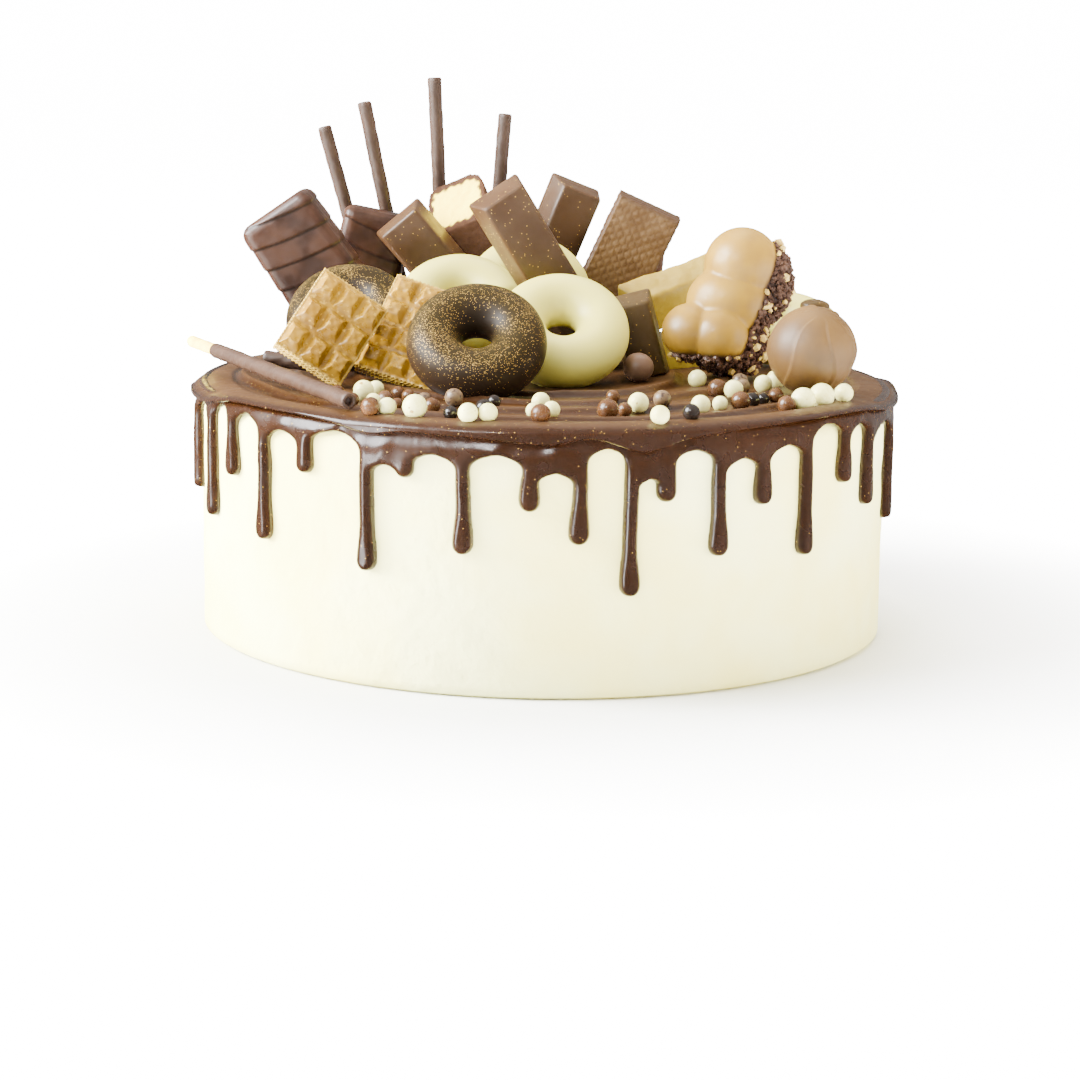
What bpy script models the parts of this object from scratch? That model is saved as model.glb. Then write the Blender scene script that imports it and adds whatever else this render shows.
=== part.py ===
"""Drip cake: a buttercream cake under a ganache top with drips, pearls and chocolates.

Metres, +Z up. The origin is the centre of the cake's flat base, and the front faces -Y.
An azimuth is measured from the front, -Y, and grows towards the right, +X.
"""

import math
import random

import bpy
import bmesh
from mathutils import Matrix, Vector

# Cake
CAKE_RADIUS = 0.1065
CAKE_HEIGHT = 0.0745
CAKE_EDGE_ROUND = 0.004
EDGE_ROUND_STEPS = 3
ROUND_STEPS = 60

# Ganache
FIT_GAP = 0.0003
TOP_Z = 0.0785
FOOT_Z = TOP_Z + FIT_GAP
RIM_RADIUS = 0.1055
RIDGE_PITCH = 0.017
RIDGE_COUNT = 4
RIDGE_DEPTH = 0.0011
RIDGE_SLOPE = 0.3 * RIDGE_PITCH
LAST_RIDGE_RADIUS = RIM_RADIUS - 0.0135
RIM_TROUGH = 0.005
BAND_BOTTOM_Z = 0.0725
BAND_PROUD = 0.0036
BAND_SHOULDER = (0.0013, 0.001)
BAND_SHOULDER_DEPTH = 0.0032
BAND_CHAMFER = 0.0006

# Drips
STEM_HALF_WIDTH = 0.00215
BULB_RADIUS = 0.0026
DRIP_PROUD = 0.0030
DRIP_ROOT_DEPTH = 0.001
DRIP_TOP_Z = 0.0755
FLARE_HEIGHT = 0.009
SHORT_DRIP = 0.02
SHORT_STEM_HALF_WIDTH = 0.0028
TIP_LEVELS = (0.08, 0.5, 1.0, 2.4)
FLARE_LEVELS = (0.9, 0.3, 0.0)
LEAST_LEVEL_STEP = 0.0009
BULB_EASE = 2.5
TIP_PROUD_SHARE = 0.35
OUTER_POINTS = 5
DRIP_OVERLAP = 0.0002
# Azimuth in degrees, tip height, and height of the arch on the drip's right
FRONT_DRIPS = (
    (-89, 0.0520, 0.0720),
    (-79, 0.0440, 0.0720),
    (-66.8, 0.0393, 0.0725),
    (-58, 0.0540, 0.0725),
    (-48.6, 0.0378, 0.0705),
    (-39.2, 0.0595, 0.0720),
    (-27.5, 0.0340, 0.0650),
    (-21.1, 0.0615, 0.0685),
    (-12, 0.0410, 0.0690),
    (-1.9, 0.0537, 0.0645),
    (5.5, 0.0445, 0.0710),
    (13.2, 0.0297, 0.0630),
    (18.7, 0.0560, 0.0700),
    (27.4, 0.0397, 0.0670),
    (35.4, 0.0532, 0.0695),
    (44.5, 0.0367, 0.0725),
    (54.6, 0.0555, 0.0720),
    (63.2, 0.0467, 0.0700),
    (78, 0.0378, 0.0710),
    (88, 0.0520, 0.0720),
)
BACK_DRIP_PITCH = 10.3
BACK_DRIP_TIPS = (0.034, 0.060)
BACK_DRIP_ARCHES = (0.066, 0.0725)
BACK_DRIP_SWAY = 1.4
BACK_DRIP_SHORTER = 0.008
DRIP_SEED = 7

# Pearls: x, y and diameter, by colour
PEARL_SINK = 0.13
WHITE_PEARLS = (
    (-0.053, -0.055, 0.0062),
    (-0.050, -0.046, 0.0050),
    (-0.049, -0.073, 0.0046),
    (-0.044, -0.091, 0.0053),
    (-0.036, -0.096, 0.0070),
    (-0.021, -0.103, 0.0056),
    (-0.0155, -0.1015, 0.0054),
    (-0.001, -0.067, 0.0054),
    (-0.003, -0.081, 0.0045),
    (0.002, -0.090, 0.0050),
    (0.027, -0.072, 0.0060),
    (0.032, -0.101, 0.0054),
    (0.047, -0.014, 0.0058),
    (0.045, -0.069, 0.0057),
    (0.056, -0.046, 0.0058),
    (0.051, -0.063, 0.0046),
    (0.066, -0.030, 0.0056),
    (0.0705, -0.0215, 0.0058),
    (0.075, -0.064, 0.0072),
    (0.081, -0.0575, 0.0074),
    (0.088, -0.052, 0.0056),
)
MILK_PEARLS = (
    (-0.061, -0.052, 0.0047),
    (-0.046, -0.065, 0.0052),
    (-0.055, -0.073, 0.0040),
    (-0.0485, -0.0935, 0.0055),
    (-0.043, -0.052, 0.0044),
    (-0.042, -0.075, 0.0039),
    (-0.0395, -0.062, 0.0040),
    (-0.0345, -0.068, 0.0046),
    (-0.032, -0.077, 0.0048),
    (-0.026, -0.070, 0.0054),
    (-0.001, -0.101, 0.0057),
    (0.020, -0.056, 0.0041),
    (0.018, -0.084, 0.0062),
    (0.023, -0.0765, 0.0042),
    (0.052, -0.034, 0.0060),
    (0.057, -0.062, 0.0058),
    (0.0685, -0.047, 0.0047),
    (0.070, -0.067, 0.0055),
)
DARK_PEARLS = (
    (-0.1028, 0.0, 0.0034),
    (-0.026, -0.097, 0.0041),
    (-0.017, -0.084, 0.0053),
    (-0.0145, -0.069, 0.0040),
    (0.041, -0.094, 0.0049),
    (0.061, -0.055, 0.0046),
    (0.0645, -0.0495, 0.0038),
    (0.034, -0.0665, 0.0052),
    (0.060, -0.026, 0.0048),
    (0.060, -0.0155, 0.0052),
)
# Centre and count of each group of pearls behind the chocolates
BACK_PEARL_GROUPS = (((0.058, 0.072), 6), ((-0.088, 0.036), 4), ((-0.088, -0.010), 2))
BACK_PEARL_SPREAD = 0.011
BACK_PEARL_SIZES = (0.0044, 0.0060)
BACK_PEARL_INNER_SHARE = 0.6
PEARL_SEED = 11
PEARL_SIDES = 6
PEARL_RINGS = 4

# Toppings
DONUT_RING = 0.0128
DONUT_TUBE = 0.0082
DONUT_STEPS = 17
DONUT_SIDES = 8
WAFFLE_THICKNESS = 0.0046
WAFFLE_RELIEF = 0.0016
WAFFLE_RIB = 0.0016
WAFFLE_COLUMNS = 3
LEFT_WAFFLE = (0.0229, 0.0293)
RIGHT_WAFFLE = (0.0250, 0.0340)
FINGER_BASE_WIDTH = 0.019
FINGER_TOP_WIDTH = 0.0145
FINGER_THICKNESS = 0.010
FINGER_EDGE = 0.0008
CHUNK_WIDTH_SHARE = 0.75
FILLED_BAR_WIDTH = 0.026
FILLED_BAR_THICKNESS = 0.019
FILLED_BAR_ROUND = 0.005
SLAB_WIDTH = 0.022
SLAB_THICKNESS = 0.0085
SLAB_EDGE = 0.001
BLOCK_EDGE = 0.0015
COCONUT_WIDTH = 0.021
COCONUT_THICKNESS = 0.014
COCONUT_ROUND = 0.004
COCONUT_CUT_ELEVATION = 45
COCONUT_SPARE = 1.3
TRUFFLE_RADIUS = 0.0136
STICK_RADIUS = 0.0024
BISCUIT_END_LENGTH = 0.022
BISCUIT_END_RADIUS = 0.0019
BISCUIT_STEP = 0.001
STICK_END_ROUND = 0.7
STICK_END_FLAT = 0.6
STICK_SIDES = 10
FOOT_DEPTH = 0.004
FLOOR_SIDE = 0.3
FLOOR_BOTTOM_Z = 0.02
SMOOTH_ANGLE = 35

# Colour, roughness and metallic value
BUTTERCREAM = ((0.90, 0.86, 0.74), 0.55, 0.0)
GANACHE = ((0.14, 0.055, 0.03), 0.18, 0.0)
DARK_CHOCOLATE = ((0.055, 0.028, 0.018), 0.35, 0.0)
MILK_CHOCOLATE = ((0.22, 0.10, 0.055), 0.45, 0.0)
WHITE_CHOCOLATE = ((0.83, 0.76, 0.50), 0.40, 0.0)
GOLDEN_WAFER = ((0.66, 0.40, 0.13), 0.45, 0.0)
COCONUT = ((0.88, 0.83, 0.70), 0.75, 0.0)
PALE_WAFER = ((0.66, 0.42, 0.21), 0.40, 0.0)
BISCUIT = ((0.85, 0.74, 0.47), 0.70, 0.0)


def clear_scene():
    """Remove every object that the file starts with."""
    for found in list(bpy.data.objects):
        bpy.data.objects.remove(found, do_unlink=True)


def new_collection(name):
    made = bpy.data.collections.new(name)
    bpy.context.scene.collection.children.link(made)
    return made


def make_material(name, finish):
    """A Principled material from a finish of colour, roughness and metallic value."""
    colour, roughness, metallic = finish
    material = bpy.data.materials.new(name)
    material.use_nodes = True
    shader = material.node_tree.nodes["Principled BSDF"]
    shader.inputs["Base Color"].default_value = (*colour, 1)
    shader.inputs["Roughness"].default_value = roughness
    shader.inputs["Metallic"].default_value = metallic
    material.diffuse_color = (*colour, 1)
    return material


def add_object(name, mesh, collection, finish):
    """A new object of this mesh, smooth except at its sharp edges, with its own material."""
    mesh.materials.append(make_material(name, finish))
    mesh.shade_smooth()
    mesh.set_sharp_from_angle(angle=math.radians(SMOOTH_ANGLE))
    made = bpy.data.objects.new(name, mesh)
    collection.objects.link(made)
    return made


def add_bmesh(name, shape, collection, finish):
    """A new object from a bmesh, which is freed."""
    mesh = bpy.data.meshes.new(name)
    bmesh.ops.recalc_face_normals(shape, faces=shape.faces)
    shape.to_mesh(mesh)
    shape.free()
    return add_object(name, mesh, collection, finish)


def make_cutter(obj):
    """Keep an object as a cutter only: out of renders, and drawn as wire."""
    obj.hide_render = True
    obj.display_type = "WIRE"
    return obj


def add_cut(obj, cutter, solver="EXACT"):
    modifier = obj.modifiers.new("Cut", "BOOLEAN")
    modifier.operation = "DIFFERENCE"
    modifier.solver = solver
    modifier.object = cutter
    return modifier


def join_pieces(obj, pieces, solver):
    """Add a union of this object with every piece in a collection."""
    union = obj.modifiers.new("Union", "BOOLEAN")
    union.operation = "UNION"
    union.solver = solver
    union.operand_type = "COLLECTION"
    union.collection = pieces


def add_bevel(obj, width, segments):
    modifier = obj.modifiers.new("Rounded edges", "BEVEL")
    modifier.width = width
    modifier.segments = segments
    modifier.limit_method = "ANGLE"
    return modifier


def turned(name, profile, steps, collection, finish):
    """A solid turned about Z from a profile that runs down its outer side."""
    shape = bmesh.new()
    points = [shape.verts.new((radius, 0, height)) for radius, height in profile]
    for upper, lower in zip(points, points[1:]):
        shape.edges.new((upper, lower))
    mesh = bpy.data.meshes.new(name)
    shape.to_mesh(mesh)
    shape.free()
    made = add_object(name, mesh, collection, finish)
    screw = made.modifiers.new("Turned", "SCREW")
    screw.axis = "Z"
    screw.steps = steps
    screw.render_steps = steps
    screw.use_merge_vertices = True
    screw.merge_threshold = 0.0001
    return made


def box_shape(width, thickness, length, bottom=0.0):
    """A bmesh box that stands on its end, centred on Z, from bottom up to length."""
    shape = bmesh.new()
    bmesh.ops.create_cube(shape, size=1)
    bmesh.ops.scale(shape, vec=(width, thickness, length - bottom), verts=shape.verts)
    bmesh.ops.translate(shape, vec=(0, 0, (length + bottom) / 2), verts=shape.verts)
    return shape


def direction(azimuth, elevation=0.0):
    """The unit vector at this azimuth from the front and elevation, in degrees."""
    turn = math.radians(azimuth)
    rise = math.radians(elevation)
    return Vector(
        (math.sin(turn) * math.cos(rise), -math.cos(turn) * math.cos(rise), math.sin(rise))
    )


def pose(obj, place, lean, toward, facing):
    """Stand an object at a place with its Z leaning by so many degrees towards an azimuth.

    Its front, local -Y, is turned to the azimuth that facing gives.
    """
    along = direction(toward, 90 - lean)
    front = direction(facing)
    front = (front - front.dot(along) * along).normalized()
    across = along.cross(front)
    turn = Matrix((across, -front, along)).transposed()
    obj.location = place
    obj.rotation_euler = turn.to_euler()
    return obj


def lay_stick(name, start, end, collection, finish, bare_length=0.0):
    """A round stick between two points, thinner over a bare length at its start."""
    axis = Vector(end) - Vector(start)
    length = axis.length
    top = length - STICK_RADIUS * STICK_END_ROUND
    profile = [(0, length), (STICK_RADIUS * STICK_END_FLAT, length), (STICK_RADIUS, top)]
    radius = STICK_RADIUS
    if bare_length:
        radius = BISCUIT_END_RADIUS
        profile += [(STICK_RADIUS, bare_length + BISCUIT_STEP), (radius, bare_length)]
    profile += [(radius, radius * STICK_END_ROUND), (radius * STICK_END_FLAT, 0), (0, 0)]
    stick = turned(name, profile, STICK_SIDES, collection, finish)
    stick.location = start
    stick.rotation_euler = axis.to_track_quat("Z", "Y").to_euler()
    return stick


def apply_modifiers(obj):
    """Replace an object's mesh by its evaluated one."""
    bpy.context.view_layer.update()
    evaluated = obj.evaluated_get(bpy.context.evaluated_depsgraph_get())
    mesh = bpy.data.meshes.new_from_object(evaluated)
    obj.modifiers.clear()
    obj.data = mesh


def remove_pieces(pieces):
    """Remove a collection with the objects that a union has taken in."""
    for piece in list(pieces.objects):
        bpy.data.objects.remove(piece, do_unlink=True)
    bpy.data.collections.remove(pieces)


# Cake and ganache


def cake_profile(grow=0.0):
    """The outer side of the cake, top to bottom, pushed out by grow."""
    radius = CAKE_RADIUS + grow
    height = CAKE_HEIGHT + grow
    profile = [(0, height)]
    for step in range(EDGE_ROUND_STEPS + 1):
        turn = math.radians(90 - 90 * step / EDGE_ROUND_STEPS)
        across = radius - CAKE_EDGE_ROUND + CAKE_EDGE_ROUND * math.cos(turn)
        up = height - CAKE_EDGE_ROUND + CAKE_EDGE_ROUND * math.sin(turn)
        profile.append((across, up))
    profile += [(radius, -grow), (0, -grow)]
    return profile


def cap_profile():
    """The ganache top with its spatula ridges, the rim and the band over the edge."""
    profile = [(0, TOP_Z - RIDGE_DEPTH)]
    for ridge in reversed(range(RIDGE_COUNT)):
        crest = LAST_RIDGE_RADIUS - RIDGE_PITCH * ridge
        profile.append((crest - RIDGE_SLOPE, TOP_Z - RIDGE_DEPTH))
        profile.append((crest, TOP_Z))
    outer = CAKE_RADIUS + BAND_PROUD
    profile += [
        (RIM_RADIUS - RIM_TROUGH, TOP_Z - RIDGE_DEPTH),
        (RIM_RADIUS, TOP_Z),
        (outer - BAND_SHOULDER[0], TOP_Z - BAND_SHOULDER[1]),
        (outer, TOP_Z - BAND_SHOULDER_DEPTH),
        (outer - BAND_CHAMFER, BAND_BOTTOM_Z + BAND_CHAMFER),
        (CAKE_RADIUS - DRIP_ROOT_DEPTH, BAND_BOTTOM_Z),
        (0, BAND_BOTTOM_Z),
    ]
    return profile


def ganache_height(radius):
    """The height of the ganache top at this distance from the cake's axis."""
    top = [point for point in cap_profile() if point[1] > BAND_BOTTOM_Z]
    for (inner, start), (outer, end) in zip(top, top[1:]):
        if inner <= radius <= outer:
            return start + (end - start) * (radius - inner) / (outer - inner)
    return top[-1][1]


def all_drips():
    """Every drip as azimuth, tip height and the arch height on its right, all round."""
    chance = random.Random(DRIP_SEED)
    drips = list(FRONT_DRIPS)
    start = FRONT_DRIPS[-1][0]
    stop = FRONT_DRIPS[0][0] + 360
    count = round((stop - start) / BACK_DRIP_PITCH)
    for step in range(1, count):
        azimuth = start + (stop - start) * step / count
        azimuth += chance.uniform(-BACK_DRIP_SWAY, BACK_DRIP_SWAY)
        tip = chance.uniform(*BACK_DRIP_TIPS) + step % 2 * BACK_DRIP_SHORTER
        tip = min(tip, BACK_DRIP_TIPS[1])
        drips.append((azimuth, tip, chance.uniform(*BACK_DRIP_ARCHES)))
    return drips


def stem_half_width(above_tip, stem):
    """Half the drip's width at a height above its tip: a round bulb, then the stem."""
    bulb = max(BULB_RADIUS, stem)
    if above_tip < bulb:
        return math.sqrt(bulb**2 - (bulb - above_tip) ** 2)
    ease = min(1.0, (above_tip - bulb) / (BULB_EASE * bulb))
    return bulb + (stem - bulb) * ease


def flare(height, arch, half_gap):
    """Half width on one side where the drip widens into the arch at its side."""
    depth = min(1.0, max(0.0, (arch - height) / FLARE_HEIGHT))
    return half_gap * (1 - math.sqrt(1 - (1 - depth) ** 2))


def drip_levels(tip, left_arch, right_arch):
    """The heights of a drip's sections, from its tip up."""
    low_arch = min(left_arch, right_arch)
    heights = [tip + part * BULB_RADIUS for part in TIP_LEVELS]
    heights += [low_arch - part * FLARE_HEIGHT for part in FLARE_LEVELS]
    heights += [max(left_arch, right_arch), DRIP_TOP_Z]
    levels = []
    for height in sorted(height for height in heights if height > tip):
        if not levels or height - levels[-1] > LEAST_LEVEL_STEP:
            levels.append(height)
    return levels


def drip_section(azimuth, height, left, right, proud):
    """Points round one section of a drip: a half round on a flat back inside the cake's side."""
    section = []
    for step in range(OUTER_POINTS):
        turn = math.pi * (1 - step / (OUTER_POINTS - 1))
        side = left if step < OUTER_POINTS / 2 else right
        out = proud * math.sqrt(max(0.0, math.sin(turn)))
        section.append((side * math.cos(turn), CAKE_RADIUS + out))
    inner = CAKE_RADIUS - DRIP_ROOT_DEPTH
    section += [(right, inner), (-left, inner)]
    points = []
    for along, radius in section:
        spot = direction(azimuth + math.degrees(along / CAKE_RADIUS)) * radius
        points.append((spot.x, spot.y, height))
    return points


def drip_shape(azimuth, tip, left_arch, right_arch, left_gap, right_gap):
    """One drip as a loft of half-round sections down the side of the cake."""
    shape = bmesh.new()
    short = DRIP_TOP_Z - tip < SHORT_DRIP
    stem = SHORT_STEM_HALF_WIDTH if short else STEM_HALF_WIDTH
    rings = []
    for height in drip_levels(tip, left_arch, right_arch):
        narrow = stem_half_width(height - tip, stem)
        left = max(narrow, flare(height, left_arch, left_gap))
        right = max(narrow, flare(height, right_arch, right_gap))
        share = TIP_PROUD_SHARE + (1 - TIP_PROUD_SHARE) * narrow / stem
        points = drip_section(azimuth, height, left, right, DRIP_PROUD * min(1.0, share))
        rings.append([shape.verts.new(point) for point in points])
    for lower, upper in zip(rings, rings[1:]):
        for step in range(len(lower)):
            after = (step + 1) % len(lower)
            shape.faces.new((lower[step], lower[after], upper[after], upper[step]))
    shape.faces.new(rings[0])
    shape.faces.new(rings[-1])
    return shape


def add_drips(collection):
    """Every drip, each reaching half way to its neighbours at its top."""
    drips = all_drips()
    for index, (azimuth, tip, arch) in enumerate(drips):
        before = drips[index - 1]
        after = drips[(index + 1) % len(drips)]
        left_gap = math.radians((azimuth - before[0]) % 360) * CAKE_RADIUS / 2
        right_gap = math.radians((after[0] - azimuth) % 360) * CAKE_RADIUS / 2
        left_gap += DRIP_OVERLAP
        right_gap += DRIP_OVERLAP
        shape = drip_shape(azimuth, tip, before[2], arch, left_gap, right_gap)
        add_bmesh(f"drip_{index + 1}", shape, collection, GANACHE)


def add_pearl(name, x, y, diameter, collection):
    shape = bmesh.new()
    bmesh.ops.create_uvsphere(
        shape, u_segments=PEARL_SIDES, v_segments=PEARL_RINGS, radius=diameter / 2
    )
    height = ganache_height(math.hypot(x, y)) + diameter * (0.5 - PEARL_SINK)
    pearl = add_bmesh(name, shape, collection, GANACHE)
    pearl.location = (x, y, height)


def add_pearls(collection):
    """The pearls that lie on the ganache, and a few more round the back."""
    rows = WHITE_PEARLS + MILK_PEARLS + DARK_PEARLS
    chance = random.Random(PEARL_SEED)
    for (x, y), count in BACK_PEARL_GROUPS:
        for step in range(count):
            spread = BACK_PEARL_SPREAD * chance.uniform(BACK_PEARL_INNER_SHARE, 1)
            spot = direction(360 * step / count) * spread
            rows += ((x + spot.x, y + spot.y, chance.uniform(*BACK_PEARL_SIZES)),)
    for index, (x, y, diameter) in enumerate(rows):
        add_pearl(f"pearl_{index + 1}", x, y, diameter, collection)


def build_cake(collection):
    return turned("cake_body", cake_profile(), ROUND_STEPS, collection, BUTTERCREAM)


def build_ganache(collection, cutters):
    """The ganache cap, drips and pearls as one solid, hollowed to sit over the cake."""
    ganache = turned("ganache", cap_profile(), ROUND_STEPS, collection, GANACHE)
    pieces = new_collection("ganache pieces")
    add_drips(pieces)
    add_pearls(pieces)
    join_pieces(ganache, pieces, "MANIFOLD")
    grown = turned("cake_room", cake_profile(FIT_GAP), ROUND_STEPS, cutters, GANACHE)
    add_cut(ganache, make_cutter(grown), "MANIFOLD")
    apply_modifiers(ganache)
    remove_pieces(pieces)
    bpy.data.objects.remove(grown, do_unlink=True)
    return ganache


# Toppings


class Toppings:
    """Makes the chocolates, each cut flat where it meets the ganache."""

    def __init__(self, collection, cutters):
        self.collection = collection
        shape = box_shape(FLOOR_SIDE, FLOOR_SIDE, FOOT_Z, FLOOR_BOTTOM_Z)
        self.floor = make_cutter(add_bmesh("foot_cutter", shape, cutters, GANACHE))

    def cut_foot(self, obj):
        add_cut(obj, self.floor)
        return obj

    def donut(self, name, centre, elevation, facing, finish, size=1.0):
        """A ring whose hole looks up at this elevation and towards this azimuth."""
        bpy.ops.mesh.primitive_torus_add(
            major_segments=DONUT_STEPS,
            minor_segments=DONUT_SIDES,
            major_radius=DONUT_RING * size,
            minor_radius=DONUT_TUBE * size,
        )
        mesh = bpy.context.object.data
        bpy.data.objects.remove(bpy.context.object, do_unlink=True)
        ring = add_object(name, mesh, self.collection, finish)
        ring.location = centre
        ring.rotation_euler = direction(facing, elevation).to_track_quat("Z", "Y").to_euler()
        return self.cut_foot(ring)

    def waffle(self, name, centre, lean, toward, facing, rows, size):
        """A wafer of raised square cells on both faces, centred on its place."""
        shape = bmesh.new()
        bmesh.ops.create_grid(shape, x_segments=WAFFLE_COLUMNS, y_segments=rows, size=0.5)
        bmesh.ops.scale(shape, vec=(*size, 1), verts=shape.verts)
        bmesh.ops.rotate(shape, matrix=Matrix.Rotation(math.pi / 2, 3, "X"), verts=shape.verts)
        front = list(shape.faces)
        body = bmesh.ops.extrude_face_region(shape, geom=front)
        moved = [item for item in body["geom"] if isinstance(item, bmesh.types.BMVert)]
        bmesh.ops.translate(shape, vec=(0, WAFFLE_THICKNESS, 0), verts=moved)
        bmesh.ops.translate(shape, vec=(0, -WAFFLE_THICKNESS / 2, 0), verts=shape.verts)
        bmesh.ops.recalc_face_normals(shape, faces=shape.faces)
        cells = [face for face in shape.faces if abs(face.normal.y) > 0.9]
        bmesh.ops.inset_individual(
            shape, faces=cells, thickness=WAFFLE_RIB, depth=WAFFLE_RELIEF
        )
        made = add_bmesh(name, shape, self.collection, GOLDEN_WAFER)
        pose(made, centre, lean, toward, facing)
        return self.cut_foot(made)

    def finger(self, name, foot, length, lean, toward, facing, finish, width=1.0):
        """A moulded finger with sloping sides, its broad top to the front."""
        shape = box_shape(FINGER_BASE_WIDTH * width, FINGER_THICKNESS, length, -FOOT_DEPTH)
        narrow = FINGER_TOP_WIDTH / FINGER_BASE_WIDTH
        ends = 0.5 * (FINGER_BASE_WIDTH - FINGER_TOP_WIDTH)
        for vert in shape.verts:
            if vert.co.y < 0:
                vert.co.x *= narrow
                vert.co.z += -ends if vert.co.z > 0 else ends
        made = add_bmesh(name, shape, self.collection, finish)
        pose(made, foot, lean, toward, facing)
        add_bevel(made, FINGER_EDGE, 1)
        return self.cut_foot(made)

    def bar(self, name, foot, size, lean, toward, facing, finish, rounding, segments=2):
        """A standing bar with rounded edges: size is width, thickness and length."""
        shape = box_shape(size[0], size[1], size[2], -FOOT_DEPTH)
        made = add_bmesh(name, shape, self.collection, finish)
        pose(made, foot, lean, toward, facing)
        add_bevel(made, rounding, segments)
        return self.cut_foot(made)

    def coconut_bar(self, name, foot, length, lean, toward, facing):
        """A coated bar whose upper end is cut across at a slant, towards the front."""
        shape = box_shape(
            COCONUT_WIDTH, COCONUT_THICKNESS, length * COCONUT_SPARE, -FOOT_DEPTH
        )
        upright = []
        for edge in shape.edges:
            if abs(edge.verts[0].co.z - edge.verts[1].co.z) > length:
                upright.append(edge)
        bmesh.ops.bevel(
            shape, geom=upright, offset=COCONUT_ROUND, offset_type="OFFSET", segments=3,
            profile=0.5, affect="EDGES",
        )
        slope = math.radians(COCONUT_CUT_ELEVATION)
        cut = bmesh.ops.bisect_plane(
            shape,
            geom=list(shape.verts) + list(shape.edges) + list(shape.faces),
            plane_co=(0, 0, length),
            plane_no=(0, -math.cos(slope), math.sin(slope)),
            clear_outer=True,
        )
        rim = [item for item in cut["geom_cut"] if isinstance(item, bmesh.types.BMEdge)]
        bmesh.ops.holes_fill(shape, edges=rim)
        made = add_bmesh(name, shape, self.collection, COCONUT)
        pose(made, foot, lean, toward, facing)
        return self.cut_foot(made)

    def truffle(self, name, centre):
        shape = bmesh.new()
        bmesh.ops.create_uvsphere(shape, u_segments=16, v_segments=9, radius=TRUFFLE_RADIUS)
        made = add_bmesh(name, shape, self.collection, PALE_WAFER)
        made.location = centre
        return self.cut_foot(made)

    def button(self, name, centre, radius, height):
        """A low domed chocolate button."""
        shape = bmesh.new()
        bmesh.ops.create_uvsphere(shape, u_segments=12, v_segments=7, radius=radius)
        bmesh.ops.scale(shape, vec=(1, 1, height / radius), verts=shape.verts)
        made = add_bmesh(name, shape, self.collection, MILK_CHOCOLATE)
        made.location = centre
        return self.cut_foot(made)

    def lobed_wafer(self, name, lobes):
        """A rounded wafer shell: overlapping round lobes joined into one solid."""
        pieces = new_collection(name + " pieces")
        first = None
        for index, (centre, radii) in enumerate(lobes):
            shape = bmesh.new()
            bmesh.ops.create_uvsphere(shape, u_segments=12, v_segments=7, radius=1)
            bmesh.ops.scale(shape, vec=radii, verts=shape.verts)
            place = self.collection if first is None else pieces
            lobe = add_bmesh(name if first is None else f"lobe_{index}", shape, place, PALE_WAFER)
            lobe.location = centre
            first = first or lobe
        join_pieces(first, pieces, "EXACT")
        self.cut_foot(first)
        apply_modifiers(first)
        remove_pieces(pieces)
        return first

    def lying_finger(self, name, start, end, roll):
        """A white finger between two points, its broad top rolled back by so many degrees."""
        axis = Vector(end) - Vector(start)
        lean = math.degrees(axis.angle(Vector((0, 0, 1))))
        toward = math.degrees(math.atan2(axis.x, -axis.y))
        made = self.finger(name, start, axis.length, lean, toward, 0, WHITE_CHOCOLATE)
        turn = Matrix.Rotation(math.radians(roll), 3, axis.normalized())
        made.rotation_euler = (turn @ made.rotation_euler.to_matrix()).to_euler()
        return made

    def lying_stick(self, name, start, end):
        return lay_stick(name, start, end, self.collection, MILK_CHOCOLATE)

    def dipped_stick(self, name, start, end):
        """A coated biscuit stick whose first stretch is bare."""
        return lay_stick(name, start, end, self.collection, BISCUIT, BISCUIT_END_LENGTH)

    def standing_stick(self, name, foot, length, lean, toward):
        along = direction(toward, 90 - lean)
        start = Vector(foot) - along * FOOT_DEPTH
        end = Vector(foot) + along * length
        stick = lay_stick(name, start, end, self.collection, MILK_CHOCOLATE)
        return self.cut_foot(stick)


def on_top(x, y):
    """A point on the ganache where a piece stands."""
    return (x, y, FOOT_Z)


def build_donuts(top):
    top.donut("donut_dark_front", (-0.0204, -0.0389, 0.0921), 48, 0, DARK_CHOCOLATE)
    top.donut("donut_white_front", (0.0050, -0.0086, 0.0925), 48, 4, WHITE_CHOCOLATE)
    top.donut("donut_white_middle", (-0.0275, 0.0208, 0.0955), 48, 0, WHITE_CHOCOLATE)
    top.donut("donut_white_back", (-0.0060, 0.0460, 0.0965), 20, 0, WHITE_CHOCOLATE)
    top.donut("donut_dark_back", (-0.0613, 0.0034, 0.0943), 48, -4, DARK_CHOCOLATE, 0.95)
    top.donut("donut_white_right", (0.0765, 0.0380, 0.0891), 75, 10, WHITE_CHOCOLATE, 0.95)


def build_wafers(top):
    top.waffle("waffle_left", (-0.0648, -0.0272, 0.0943), 44.1, 138.3, 0.8, 3, LEFT_WAFFLE)
    top.waffle("waffle_right", (-0.0402, -0.0152, 0.0913), 40.9, 147.2, -12.6, 4, RIGHT_WAFFLE)
    top.bar(
        "wafer_slab", on_top(0.0128, 0.0700), (SLAB_WIDTH, SLAB_THICKNESS, 0.053),
        26, 67, 2, MILK_CHOCOLATE, SLAB_EDGE, 1,
    )


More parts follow.
